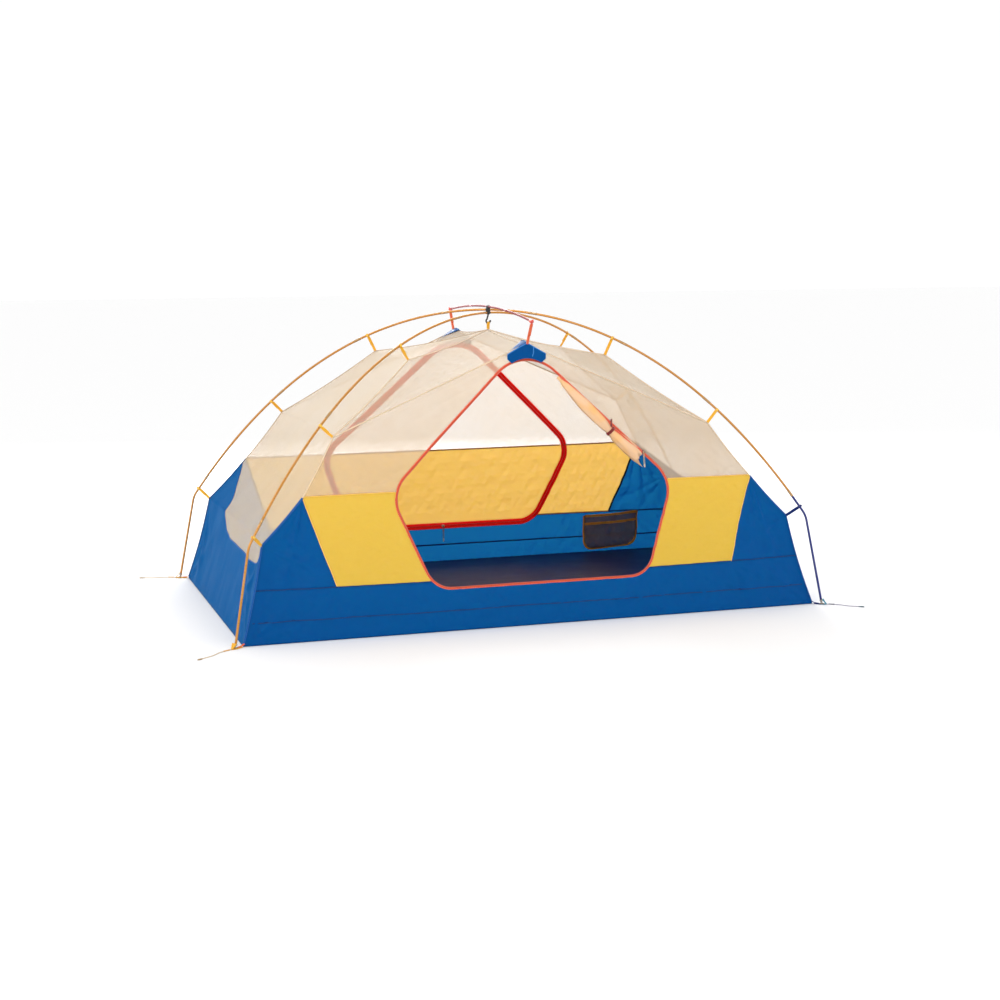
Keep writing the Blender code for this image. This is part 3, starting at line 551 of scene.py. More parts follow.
def wall_ruffle(x, height, side):
    """How far a long wall stands out from its drawn shape: folds that fan out from the floor
    corner and from the anchors, slack along the lower strip, and creasing all over."""
    end = np.abs(x)
    out = fan(end, height, (1.1175, 0.0), (-0.8, 0.6), 0.5, 17, 0.20, 0.0034)
    out += fan(end, height, (0.879, 0.505), (0.25, -0.97), 0.5, 20, 0.13, 0.0040)
    out += fan(end, height, (1.031, 0.344), (-0.9, -0.45), 0.6, 13, 0.10, 0.0030)
    out += fan(end, height, (YELLOW_FOOT_X, YELLOW_FOOT), (0.6, -0.8), 0.8, 11, 0.08, 0.0022)
    strip = np.sin(math.pi * np.clip(height / YELLOW_FOOT, 0, 1)) ** 2
    slow = np.sin(x * 9.1 + side) + 0.6 * np.sin(x * 21.7 + 2 * side + height * 25)
    out += 0.0042 * strip * slow
    lean = x + 0.9 * height
    out += 0.0016 * strip * np.sin(lean * 61 + 2 * np.sin(x * 13)) * (0.5 + 0.5 * np.sin(x * 5.3 + side))
    net = ramp(height - YELLOW_TOP, 0.05)
    out += crumple(x, height, 11 + side, 0.0018) * (1 - 0.6 * net)
    out += 0.003 * net * np.sin(x * 7 + 1) * np.sin(height * 11)
    edge, _ = wall_edge(height)
    return out * (ramp(edge - end, 0.05) * ramp(height, 0.03) * ramp(1.0 - height, 0.1))


def drawn_wall(x, height):
    """Distance of a long wall from the centre line as drawn: the middle profile mixed with the
    edge by the cube of the share of the way to the edge."""
    shifts = np.array((-1, -0.5, 0, 0.5, 1)) * PROFILE_ROUND
    middle = sum(np.interp(height + shift, *WALL_PROFILE.T) for shift in shifts) / 5
    edge_x, edge_y = wall_edge(height)
    share = np.clip(np.abs(x) / np.maximum(edge_x, 0.001), 0, 1) ** WALL_FULLNESS
    return middle + (edge_y - middle) * share


def slider_seat(node, inside):
    """Where a slider's underside meets the wall: place along the wall, height, and how far the
    straight zip stands off the drawn wall there."""
    low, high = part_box(node)
    x, y, z = (low + high) / 2
    tape = abs(y) + (0.0046 if inside else -0.0046)
    return x, z, tape - float(drawn_wall(x, z))


SEATS = {-1: slider_seat("front_zipper_slider", False), 1: slider_seat("back_zipper_slider", True)}
RUNS = {-1: (0.463, 0.592, 0.080, 0.080), 1: (0.0, 0.125, 0.52, 0.095)}
LEG_LEAN = -0.2198


def wall(x, height, side, out=0.0):
    """Points of a long wall; side is -1 in front and 1 behind, out is outwards.  Along its
    slider's run the wall is smooth and follows the straight zip, inside a soft-edged patch."""
    seat_x, seat_z, stand = SEATS[side]
    run_x, run_z, wide, tall = RUNS[side]
    near = np.exp(-(((x - run_x) / wide) ** 2 + ((height - run_z) / tall) ** 2) ** 4)
    drawn = drawn_wall(x, height)
    if side < 0:
        track = drawn_wall(seat_x, seat_z) + stand + LEG_LEAN * (height - seat_z)
    else:
        track = drawn_wall(seat_x, height) + stand
    y = drawn + (track - drawn) * near + wall_ruffle(x, height, side) * (1 - near) + out
    x, height = np.broadcast_arrays(x, height)
    return np.stack([x, side * y, height], -1)


DOOR_CORNERS = np.array(((0.0, 1.030), (0.556, 0.503), (0.417, 0.160), (-0.417, 0.160),
                         (-0.556, 0.503)))
DOOR_RADII = (0.165, 0.12, 0.10, 0.10, 0.12)
ARC_STEPS = 16
RUN_STEPS = 18


def door_outline(outset=0.0):
    """Closed outline of the door: a five-sided figure whose corners are arcs, moved outwards by
    the outset, starting at the left of the apex and going round to the right."""
    outline = []
    for index, radius in enumerate(DOOR_RADII):
        at = DOOR_CORNERS[index]
        before = DOOR_CORNERS[index - 1] - at
        after = DOOR_CORNERS[(index + 1) % 5] - at
        before /= np.linalg.norm(before)
        after /= np.linalg.norm(after)
        half = math.acos(float(before @ after)) / 2
        middle = (before + after) / np.linalg.norm(before + after)
        centre = at + middle * radius / math.sin(half)
        start = at + before * radius / math.tan(half) - centre
        end = at + after * radius / math.tan(half) - centre
        sweep = math.pi - 2 * half
        share = np.linspace(0, 1, ARC_STEPS + 1)[:, None]
        arc = (start * np.sin(sweep * (1 - share)) + end * np.sin(sweep * share)) / math.sin(sweep)
        outline.append(centre + arc * (radius + outset) / radius)
    closed = []
    for index, arc in enumerate(outline):
        following = outline[(index + 1) % 5][0]
        share = np.linspace(0, 1, RUN_STEPS + 1)[1:-1, None]
        closed += [arc, arc[-1] * (1 - share) + following * share]
    return np.concatenate(closed)


def door_half(height, outset):
    """Half width of the door at a height, with its outline moved outwards."""
    outline = door_outline(outset)
    right = outline[outline[:, 0] > 0.0]
    right = right[np.argsort(right[:, 1])]
    keep = np.concatenate([[False], np.diff(right[:, 1]) > 1e-5])
    right = right[keep]
    return np.interp(height, right[:, 1], right[:, 0])


def door_foot(x, outset):
    """Height of the door's lower edge at a place along the wall, with its outline moved out."""
    outline = door_outline(outset)
    low = outline[(outline[:, 0] > -0.001) & (outline[:, 1] < DOOR_CORNERS[1, 1])]
    low = low[np.argsort(low[:, 0])]
    return np.interp(np.abs(x), low[:, 0], low[:, 1], right=1.0)


def yellow_edge(height):
    """Outer edge of a yellow panel, a slanted seam from its foot to the seam's anchor."""
    share = np.clip((height - YELLOW_FOOT) / (CORNER_SEAM[2, 0] - YELLOW_FOOT), 0, 1)
    return YELLOW_FOOT_X + (CORNER_SEAM[2, 1] - YELLOW_FOOT_X) * share


TAPE_HALF = {-1: 0.005, 1: 0.013}
EDGE_GAP = 0.0008
# The front, back and end looks are one blue cloth; the back and end colours differ from the front's only as
# painted light.
BLUE_LOOKS = (("front", BLUE, 0.40, 0.06), ("back", BLUE_BACK_LIGHT_CORRECTED, 0.40, 0.06), ("end", BLUE_END_LIT_COPY, 0.55, 0.015))
BLUE_CLOTH = {name: cloth_look("blue_cloth_" + name, colour, roughness=rough, thread=0.0005, grid=0.0045,
                               grid_strength=0.5, depth=0.25, uneven=0.10, specular=specular, glow=0.9)
              for name, colour, rough, specular in BLUE_LOOKS}


def blue_wall(side):
    """Grids of one wall's blue cloth: the strip, then the corner piece at each end."""
    share = np.linspace(0, 1, 25)[:, None]

    def strip_height(x):
        """Height up the strip at a place along the wall, under the door or the yellow panels."""
        foot = np.minimum(YELLOW_FOOT, door_foot(x, TAPE_HALF[side] - 0.001))
        return WALL_FOOT + (foot - WALL_FOOT) * share

    middle = np.linspace(-1.1, 1.1, 321)
    x = middle / 1.1 * (seam_at(strip_height(middle))[0] - EDGE_GAP)
    grids = [wall(x, strip_height(x), side)]
    height = np.linspace(YELLOW_FOOT, CORNER_SEAM[2, 0] - 0.003, 57)[:, None]
    inner = yellow_edge(height)
    outer = seam_at(height)[0] - EDGE_GAP
    across = np.linspace(0, 1, 41)[None, :]
    for hand in (-1, 1):
        grids.append(wall(hand * (inner + (outer - inner) * across), height, side))
    return grids


for side_name, side in SIDES.items():
    panel(side_name + "_lower_wall", blue_wall(side), BLUE_CLOTH[side_name], "blue_cloth",
          side_name + "_blue_wall", (2.235, 0.52))


# ---------------------------------------------------------------------------
# Yellow panels: lighter golden polyester either side of each door, cut with a slanted outer
# edge and sewn to the strip below, the corner piece outside and the zip inside.
YELLOW = (0.98, 0.505, 0.062)
YELLOW_CLOTH = cloth_look("yellow_cloth", YELLOW, roughness=0.50, thread=0.0005, grid=0.0045,
                          grid_strength=0.35, depth=0.2, uneven=0.07, specular=0.12, glow=1.0)

for side_name, side in SIDES.items():
    for hand_name, hand in HANDS.items():
        height = np.linspace(YELLOW_FOOT, YELLOW_TOP, 81)[:, None]
        inner = door_half(height, TAPE_HALF[side] - 0.001)
        x = inner + (yellow_edge(height) - inner) * np.linspace(0, 1, 71)[None, :]
        panel(f"{side_name}_yellow_wall_{hand_name}", [wall(hand * x, height, side)], YELLOW_CLOTH,
              "yellow_cloth", f"{side_name}_yellow_panel_{hand_name}", (0.42, 0.34))


# ---------------------------------------------------------------------------
# Ends: blue cloth below, cut out in a deep curve for the mesh window above it.  It hangs from
# the two clips at its upper corners and is staked at its lower ones, so folds run between them.
WINDOW_EDGE = np.array(((-1.0, 0.330), (-0.97, 0.292), (-0.90, 0.268), (-0.80, 0.262), (0.10, 0.262),
                        (0.26, 0.278), (0.36, 0.315), (0.48, 0.374), (0.75, 0.433), (1.0, 0.492)))
EDGE_ROUND = 0.045


def window_edge(share):
    """Height of the window's lower edge, by the share across the end from -1 in front to 1
    behind: the drawn outline averaged over a short window, so that its corners are rounded."""
    shifts = np.linspace(-1, 1, 9) * EDGE_ROUND
    return sum(np.interp(share + shift, *WINDOW_EDGE.T) for shift in shifts) / 9


def end_wall(share, height, hand, out=0.0):
    """Points of an end: straight across between the front and back seams at each height, with a
    shallow hollow, folds that fan out from its four corners, and creasing."""
    edge_x, edge_y = seam_at(height)
    y = share * edge_y
    ruffle = fan(y, height, (-0.65, 0.0), (0.70, 0.71), 0.42, 13, 0.24, 0.0042)
    ruffle += fan(y, height, (0.65, 0.0), (-0.80, 0.60), 0.42, 11, 0.26, 0.0036)
    ruffle += fan(y, height, (-0.58, 0.344), (0.55, -0.84), 0.38, 15, 0.18, 0.0034)
    ruffle += fan(y, height, (0.58, 0.344), (-0.30, -0.95), 0.38, 13, 0.20, 0.0034)
    ruffle += crumple(y, height * 0.5, 23 + hand, 0.0012, 0.4, 0.11, 9)
    hollow = -0.014 * (1 - share ** 2) * np.sin(math.pi * np.clip(height / 0.95, 0, 1))
    fade = ramp(1 - np.abs(share), 0.10) * ramp(height, 0.03) * ramp(1.0 - height, 0.2)
    x = edge_x + hollow + (ruffle + out) * fade
    share, height = np.broadcast_arrays(share, height)
    return np.stack([hand * x, y, height], -1)


for hand_name, hand in HANDS.items():
    share = np.linspace(-1, 1, 161)[:, None] * 0.9992
    height = WALL_FOOT + (window_edge(share) - WALL_FOOT) * np.linspace(0, 1, 61)[None, :]
    panel(hand_name + "_end_wall", [end_wall(share, height, hand)], BLUE_CLOTH["end"], "blue_cloth",
          hand_name + "_end_panel", (1.30, 0.50))


# ---------------------------------------------------------------------------
# Canopy net: fine cream netting that lets the air through, over the whole of the top.  One
# piece beside and over each door, one in each end window, and two that make the roof.
NET_COLOUR = (0.92, 0.71, 0.50)
NET_CELL = 0.0016


def net_group():
    """Netting: two sets of threads a cell apart.  Cover is high on a thread and low between
    threads, and the threads stand up as round ridges."""
    tree, inside, outside = new_group(
        "netting", (("Colour", "Color", (1, 1, 1, 1)), ("Cell", "Float", NET_CELL), ("Open", "Float", 0.4),
                    ("Shut", "Float", 0.8)),
        (("Colour", "Color"), ("Cover", "Float"), ("Normal", "Vector")))
    turn = node_math(tree, "DIVIDE", math.pi, inside["Cell"])
    threads = []
    for distance in cloth_place(tree):
        wave = node_math(tree, "ABSOLUTE", node_math(tree, "SINE", times(tree, distance, turn)))
        threads.append(node_math(tree, "POWER", wave, 3))
    thread = node_math(tree, "MAXIMUM", *threads)
    slow = noise(tree, 5)
    spread = node_math(tree, "SUBTRACT", inside["Shut"], inside["Open"])
    cover = plus(tree, inside["Open"], times(tree, thread, spread))
    drift = times(tree, node_math(tree, "SUBTRACT", slow, 0.5), 0.12)
    feed(tree, outside["Cover"], plus(tree, cover, drift))
    warm = shade(tree, inside["Colour"], 0.93, 1.25)
    feed(tree, outside["Colour"], mixed_colour(tree, slow, inside["Colour"], warm))
    feed(tree, outside["Normal"], raised(tree, thread, 0.0003, 0.4))
    return tree


NETTING = net_group()


def net_look(name, colour, cell=NET_CELL, open_cover=0.20, shut_cover=0.46):
    """A Principled material on the netting group."""
    look, tree, shader = principled(name)
    values = {"Colour": (*colour, 1), "Cell": cell, "Open": open_cover, "Shut": shut_cover}
    use_group(tree, shader, NETTING, values, {"Colour": "Base Color", "Cover": "Alpha", "Normal": "Normal"})
    shader.inputs["Roughness"].default_value = 0.8
    shader.inputs["Sheen Weight"].default_value = 0.2
    shader.inputs["Specular IOR Level"].default_value = 0.2
    let_through(shader, 0.8)
    return look


CANOPY_NET = net_look("canopy_net", NET_COLOUR)
END_NET = net_look("end_net", NET_COLOUR, open_cover=0.32, shut_cover=0.58)
NET_THICK = 0.0004


def net_wall(side, hand):
    """Grid of the net at one side of a door and over its top, out to the crease."""
    clear = TAPE_HALF[side] - 0.001
    apex = float(door_outline(clear)[:, 1].max())
    turn = np.linspace(0, math.pi, 91)
    height = YELLOW_TOP + (apex - YELLOW_TOP) * (1 - np.cos(turn)) / 2
    height = np.concatenate([height, np.linspace(apex, BROW_TOP[2] - 0.0005, 15)[1:]])[:, None]
    inner = np.where(height >= apex - 1e-6, 0.0, door_half(height, clear))
    x = inner + (wall_edge(height)[0] - inner) * np.linspace(0, 1, 57)[None, :]
    return wall(hand * x, height, side)


def end_net(hand):
    """Grid of an end window's net, from the cut edge of the blue cloth to the peak."""
    share = np.linspace(-1, 1, 97)[:, None] * 0.9995
    low = window_edge(share)
    height = low + (PEAK - 0.0006 - low) * np.linspace(0, 1, 121)[None, :]
    return [end_wall(share, height, hand)]


def chain(points, share):
    """Points at shares of the way along a chain of straight runs."""
    points = np.asarray(points, float)
    run = np.concatenate([[0], np.cumsum(np.linalg.norm(np.diff(points, axis=0), axis=1))])
    return np.stack([np.interp(share * run[-1], run, points[:, axis]) for axis in range(3)], -1)


ROOF_SAG = 0.016
RIDGE_SAG = 0.008


def roof_quarter(side, hand):
    """A quarter of the roof: ruled between the corner seam, from the middle clip to the peak,
    and the crease, from the middle clip to the brow, and sagging between them as a product of
    half sines."""
    seam = SEAM[SEAM[:, 0] >= CORNER_SEAM[3, 0]][:, (1, 2, 0)]
    crease = np.array(((CORNER_SEAM[3, 1], CORNER_SEAM[3, 2], CORNER_SEAM[3, 0]), BROW_CORNER, BROW_TOP))
    share = np.linspace(0, 1, 101)
    low = chain(seam, share)[:, None]
    high = chain(crease, share)[:, None]
    across = np.linspace(0, 1, 61)[None, :, None]
    grid = low + (high - low) * across
    sag = np.sin(math.pi * across[..., 0]) * np.sin(math.pi * share)[:, None].clip(0) ** 0.8
    ridge = np.sin(math.pi * across[..., 0]) * share[:, None] ** 6
    grid[..., 2] -= ROOF_SAG * sag + RIDGE_SAG * ridge
    grid[..., 2] += crumple(grid[..., 0], grid[..., 1], 31, 0.0016) * sag
    return grid * np.array((hand, side, 1))


for side_name, side in SIDES.items():
    for hand_name, hand in HANDS.items():
        panel(f"{side_name}_wall_net_{hand_name}", [net_wall(side, hand)], CANOPY_NET, "canopy_mesh",
              side_name + "_mesh", (0.62, 0.56), thickness=NET_THICK)
    panel("roof_net_" + side_name, [roof_quarter(side, -1), roof_quarter(side, 1)], CANOPY_NET, "canopy_mesh",
          "roof_mesh_" + side_name, (1.50, 0.62), thickness=NET_THICK)
for hand_name, hand in HANDS.items():
    panel(hand_name + "_end_net", end_net(hand), END_NET, "canopy_mesh", hand_name + "_end_mesh",
          (1.17, 1.35), thickness=NET_THICK)


# ---------------------------------------------------------------------------
# Back door: closed.  Golden cloth up to the height of the panels beside it and netting above,
# sewn together and to the zip flap all round.
def door_panel(low, high, rows):
    """Grid of part of the back door between two heights, inside its flap."""
    height = np.linspace(low, high, rows)[:, None]
    half = door_half(height, -TAPE_HALF[1] + 0.001)
    return wall(half * np.linspace(-1, 1, 121)[None, :], height, 1)


door_low = float(door_outline(-TAPE_HALF[1])[:, 1].min())
door_high = float(door_outline(-TAPE_HALF[1])[:, 1].max())
panel("back_door_cloth", [door_panel(door_low + 0.0005, YELLOW_TOP, 81)], YELLOW_CLOTH,
      "yellow_cloth", "back_door", (1.05, 0.34))
panel("back_door_net", [door_panel(YELLOW_TOP, door_high - 0.0005, 91)], CANOPY_NET, "canopy_mesh",
      flat=(1.05, 0.46), thickness=NET_THICK)


# ---------------------------------------------------------------------------
# Seam tapes: folded grosgrain bindings sewn over the raw edges with two rows of stitches.
# Cream over the net's seams and blue over the corner seams; inside, copper along the golden
# panels and up the corners, black up the slanted edges and navy along the lower strip.
TAPE_THICK = 0.0012
TAPE_COLOURS = {"cream": (0.74, 0.56, 0.38), "blue": (0.006, 0.095, 0.36), "copper": (0.42, 0.14, 0.025),
                "black": (0.006, 0.008, 0.016), "navy": (0.003, 0.018, 0.10)}
CORNER_TAPE = 0.009
CREASE_TAPE = 0.006
LINING_OUT = -0.0014
STRIP_SEAM = 0.077
STRIP_SEAM_OUT = -0.0012


def stitch_group():
    """Sewn tape: cross ribs every rib's width along it, and a row of stitches near each edge,
    dashes of thread that stand up from the tape."""
    tree, inside, outside = new_group(
        "sewn_tape", (("Colour", "Color", (1, 1, 1, 1)), ("Width", "Float", 0.01), ("Rib", "Float", 0.0014),
                      ("Inset", "Float", 0.0016), ("Stitch", "Float", 0.0034)),
        (("Colour", "Color"), ("Normal", "Vector")))
    across, along = cloth_place(tree)
    rib = node_math(tree, "DIVIDE", times(tree, along, 2 * math.pi), inside["Rib"])
    rib = node_math(tree, "SINE", rib)
    rows = []
    for place in (inside["Inset"], node_math(tree, "SUBTRACT", inside["Width"], inside["Inset"])):
        gap = node_math(tree, "ABSOLUTE", node_math(tree, "SUBTRACT", across, place))
        rows.append(node_math(tree, "LESS_THAN", gap, 0.00045))
    dash = node_math(tree, "FRACT", node_math(tree, "DIVIDE", along, inside["Stitch"]))
    dash = node_math(tree, "LESS_THAN", dash, 0.66)
    stitch = times(tree, node_math(tree, "MAXIMUM", *rows), dash)
    pale = shade(tree, inside["Colour"], 1.5, 0.85)
    dull = shade(tree, inside["Colour"], 0.78)
    ribbed = mixed_colour(tree, times(tree, plus(tree, rib, 1), 0.3), inside["Colour"], dull)
    feed(tree, outside["Colour"], mixed_colour(tree, stitch, ribbed, pale))
    height = plus(tree, times(tree, rib, 0.3), stitch)
    feed(tree, outside["Normal"], raised(tree, height, 0.0005, 0.6))
    return tree


SEWN_TAPE = stitch_group()


def tape_look(name, colour, width, roughness=0.7, rib=0.0014, glow=0.3):
    """A Principled material on the sewn tape group."""
    look, tree, shader = principled(name)
    values = {"Colour": (*colour, 1), "Width": width, "Rib": rib}
    use_group(tree, shader, SEWN_TAPE, values, {"Colour": "Base Color", "Normal": "Normal"})
    shader.inputs["Roughness"].default_value = roughness
    shader.inputs["Specular IOR Level"].default_value = 0.12
    let_through(shader, glow)
    return look


def flat_section(width, thick, middle=0.0):
    """Closed section of a flat tape with slightly crowned faces; its first run is the outer face."""
    half = width / 2
    top = [(-half, thick * 0.25), (-half * 0.9, thick / 2), (0, thick * 0.62), (half * 0.9, thick / 2),
           (half, thick * 0.25)]
    bottom = [(x, -y) for x, y in reversed(top)]
    section = np.array(top + bottom + top[:1])
    section[:, 1] += middle
    return section


def tape(name, paths, facings, width, look, finish, thick=TAPE_THICK, middle=0.0, closed=False, node=None):
    """Flat tapes along paths as one piece, each turned to face outwards."""
    grids = []
    for path, facing in zip(paths, facings):
        grid = carried(path, flat_section(width, thick, middle), None, facing, closed)
        grids.append(grid if closed else capped(grid))
    return placed(surface(name, grids, look), node)


LOOKS = {(colour, width): tape_look(f"{colour}_tape_{width * 1000:.0f}mm", TAPE_COLOURS[colour], width)
         for colour, width in (("blue", CORNER_TAPE), ("black", CORNER_TAPE), ("cream", CREASE_TAPE),
                               ("copper", CREASE_TAPE), ("navy", CREASE_TAPE))}


def corner_path(low, high, side, hand):
    """Points up a corner seam between two heights."""
    part = SEAM[(SEAM[:, 0] >= low) & (SEAM[:, 0] <= high)]
    return part[:, (1, 2, 0)] * np.array((hand, side, 1.0))


for side_name, side in SIDES.items():
    for hand_name, hand in HANDS.items():
        corner = f"{side_name}_{hand_name}"
        outwards = np.array((hand * 0.75, side * 0.75, 0.35))
        low_path = corner_path(0.004, CORNER_SEAM[2, 0], side, hand)
        high_path = corner_path(CORNER_SEAM[2, 0], PEAK - 0.001, side, hand)
        tape("corner_binding_" + corner, [low_path], [outwards], CORNER_TAPE, LOOKS["blue", CORNER_TAPE],
             "blue_cloth", middle=0.0002)
        tape("corner_lining_" + corner, [corner_path(0.03, 0.40, side, hand)], [-outwards], CREASE_TAPE,
             LOOKS["copper", CREASE_TAPE], "front_zip_cloth", middle=0.0026)
        crease = [(hand * CORNER_SEAM[3, 1], side * CORNER_SEAM[3, 2], CORNER_SEAM[3, 0]),
                  (hand * BROW_CORNER[0], side * BROW_CORNER[1], BROW_CORNER[2]),
                  (0.0, side * BROW_TOP[1], BROW_TOP[2])]
        crease_path = chain(crease, np.linspace(0, 1, 60))
        tape("canopy_binding_" + corner, [high_path, crease_path], [outwards, (0, side * 0.8, 0.6)],
             CREASE_TAPE, LOOKS["cream", CREASE_TAPE], "canopy_mesh")
    ridge = roof_quarter(side, 1)[-1]
    tape("ridge_binding_" + side_name, [ridge], [(0, 0, 1)], CREASE_TAPE,
         LOOKS["cream", CREASE_TAPE], "canopy_mesh")


def level_path(height, side, start, end, out):
    """Points along a long wall at one height."""
    return wall(np.linspace(start, end, 90), np.full(90, height), side, out)


def slant_path(side, hand, out, low=YELLOW_FOOT):
    """Points up the slanted seam of a yellow panel."""
    height = np.linspace(low, YELLOW_TOP - 0.006, 60)
    return wall(hand * yellow_edge(height), height, side, out)


def door_edge(height, clear):
    """Half width of the door at one height, with some clearance beside its zip."""
    return float(door_half(np.array([height]), 0.0)[0]) + clear


def strip_end(height):
    """Half length of a seam along the lower strip at a height."""
    return float(seam_at(height)[0]) - 0.004


PANEL_END = CORNER_SEAM[2, 1] - 0.006
for side_name, side in SIDES.items():
    back = (0, -side * 1.0, -0.25)
    tops, feet, slants, runs = [], [], [], []
    for hand in (-1, 1):
        inner = hand * door_edge(YELLOW_TOP, 0.006)
        tops.append(level_path(YELLOW_TOP, side, inner, hand * PANEL_END, LINING_OUT))
        inner = hand * door_edge(YELLOW_FOOT, 0.006)
        feet.append(level_path(YELLOW_FOOT, side, inner, hand * YELLOW_FOOT_X, LINING_OUT))
        slants.append(slant_path(side, hand, LINING_OUT))
        runs.append(level_path(YELLOW_FOOT, side, hand * YELLOW_FOOT_X, hand * strip_end(YELLOW_FOOT),
                               STRIP_SEAM_OUT))
    if side > 0:
        half = float(door_half(np.array([YELLOW_TOP]), -0.018)[0])
        tops.append(level_path(YELLOW_TOP, side, -half, half, LINING_OUT))
    tape(side_name + "_panel_binding", tops + feet, [back] * (len(tops) + len(feet)), CREASE_TAPE,
         LOOKS["copper", CREASE_TAPE], "front_zip_cloth")
    tape(side_name + "_slant_binding", slants, [back] * 2, CORNER_TAPE, LOOKS["black", CORNER_TAPE],
         "black_plastic")
    runs.append(level_path(STRIP_SEAM, side, -strip_end(STRIP_SEAM), strip_end(STRIP_SEAM), STRIP_SEAM_OUT))
    tape(side_name + "_strip_seam", runs, [back] * 3, CREASE_TAPE, LOOKS["navy", CREASE_TAPE], "floor_cloth")


# ---------------------------------------------------------------------------
# Outer stitching: where two cloths meet they are felled, lapped flat and sewn through twice,
# which leaves a narrow raised edge of the same cloth outside.
FELL = 0.004
FELL_OUT = 0.0008
# The blue fells are drawn much darker than the cloth they are folded from: a painted shade line along each
# seam. The yellow fells keep the cloth's colour.
FELL_BLUE_PAINTED_SHADE = (0.001, 0.040, 0.17)


def felled(name, paths, facing, colour, finish):
    """Narrow raised edges of doubled cloth along seams."""
    look = tape_look(name + "_fell", colour, FELL, roughness=0.5, rib=0.0008)
    return tape(name, paths, [facing] * len(paths), FELL, look, finish, thick=0.0010)


for side_name, side in SIDES.items():
    face = (0, side * 1.0, 0.25)
    yellows, blues = [], []
    for hand in (-1, 1):
        yellows.append(slant_path(side, hand, FELL_OUT))
        inner = hand * door_edge(YELLOW_TOP, 0.008)
        yellows.append(level_path(YELLOW_TOP, side, inner, hand * PANEL_END, FELL_OUT))
        inner = hand * door_edge(YELLOW_FOOT, 0.008)
        blues.append(level_path(YELLOW_FOOT, side, inner, hand * strip_end(YELLOW_FOOT), FELL_OUT))
    blues.append(level_path(STRIP_SEAM, side, -1.08, 1.08, FELL_OUT))
    felled(side_name + "_yellow_seams", yellows, face, YELLOW, "yellow_cloth")
    felled(side_name + "_blue_seams", blues, face, FELL_BLUE_PAINTED_SHADE, "blue_cloth")
for hand_name, hand in HANDS.items():
    share = np.linspace(-0.985, 0.985, 140)
    cut = end_wall(share, window_edge(share), hand, FELL_OUT)
    felled(hand_name + "_window_hem", [cut], (hand * 1.0, 0, 0.3), TAPE_COLOURS["blue"], "blue_cloth")


# ---------------------------------------------------------------------------
# Zips: a woven tape round each door with a nylon coil on it.  In front a narrow coral tape whose
# other half is rolled away with the door; behind, a wide red flap over the closed zip.
CORAL = (0.80, 0.115, 0.055)
RED = (0.80, 0.010, 0.006)
COIL_RADIUS = 0.0017
COIL_PITCH = 0.0024


def coil_look(name, colour):
    """Nylon coil: a ridge every pitch along it, bumped, and paler at each crest, a painted highlight."""
    look, tree, shader = principled(name)
    along = cloth_place(tree)[1]
    ridge = node_math(tree, "SINE", times(tree, along, 2 * math.pi / COIL_PITCH))
    share = times(tree, plus(tree, ridge, 1), 0.35)
    # The pale crest colour is a painted highlight on each turn of the coil.
    pale = tuple(0.12 + 0.88 * value for value in colour)
    feed(tree, shader.inputs["Base Color"], mixed_colour(tree, share, (*colour, 1), (*pale, 1)))
    feed(tree, shader.inputs["Normal"], raised(tree, ridge, 0.0006, 0.8))
    shader.inputs["Roughness"].default_value = 0.35
    return look


def ring_of(side, outset, out):
    """Closed path round a door on its wall."""
    outline = door_outline(outset)
    return wall(outline[:, 0], outline[:, 1], side, out)


ZIP_FACING = (0, -1, 0.25)
FRONT_ZIP_WIDTH = 0.010
BACK_ZIP_WIDTH = 0.026
ZIPS = (("front", -1, "tape", "coral", CORAL, FRONT_ZIP_WIDTH, 0.0016, 0.3, (-0.0035, 0.0010)),
        ("back", 1, "flap", "red", RED, BACK_ZIP_WIDTH, 0.0018, 0.9, (-0.001, -0.0006)))

for word, side, kind, tint, colour, width, thick, glow, coil_seat in ZIPS:
    cloth = tape_look(f"{tint}_zip_{kind}", colour, width, glow=glow)
    tape(f"{word}_zip_{kind}", [ring_of(side, 0.0, 0.0)], [ZIP_FACING], width, cloth, word + "_zip_cloth",
         thick=thick, closed=True, node=word + "_zipper_tape")
    coil = rod(word + "_zip_coil", [ring_of(side, *coil_seat)], COIL_RADIUS,
               coil_look(tint + "_coil", colour), 10, ZIP_FACING, closed=True)
    placed(coil)


# ---------------------------------------------------------------------------
# Brow patches: a blue reinforcement where the strap of the ridge pole pulls each wall out, sewn
# in three: an upright face over the top of the zip and two facets that fold back on the roof.
BROW_FACE = np.array(((0.9560, 0.058), (0.9880, 0.0760), (1.0300, 0.0760)))
BROW_STAND = 0.0040
BROW_BACK = 0.065
# The brow's felled seams are drawn much paler than its blue cloth: a painted highlight along each raised
# seam.
BROW_SEAM_PAINTED_HIGHLIGHT = (0.02, 0.19, 0.55)


def brow_lift(x, height):
    """How far a brow's face stands out: its stand-off and the pull of the strap on its top."""
    pull = 0.0060 * np.exp(-(x / 0.03) ** 2) * ramp(height - 0.985, 0.04)
    return BROW_TOP[1] + BROW_STAND + pull


def brow_face(side):
    """Grid of the upright face: width by height from its outline, its foot following the zip."""
    v = np.linspace(0, 1, 33)[:, None]
    u = np.linspace(-1, 1, 65)[None, :]
    x = np.interp(v, (0, 0.45, 1), BROW_FACE[:, 1]) * u
    foot = BROW_FACE[0, 0] + 0.017 * (1 - u ** 2)
    top = BROW_FACE[2, 0] + (BROW_FACE[1, 0] - BROW_FACE[2, 0]) * np.abs(u)
    height = foot + (top - foot) * v
    pleat = 0.0012 * np.sin(np.abs(u) * 9) * ramp(height - 0.98, 0.03) * np.exp(-(x / 0.05) ** 2)
    return np.stack([x, side * (brow_lift(x, height) + pleat), height], -1)


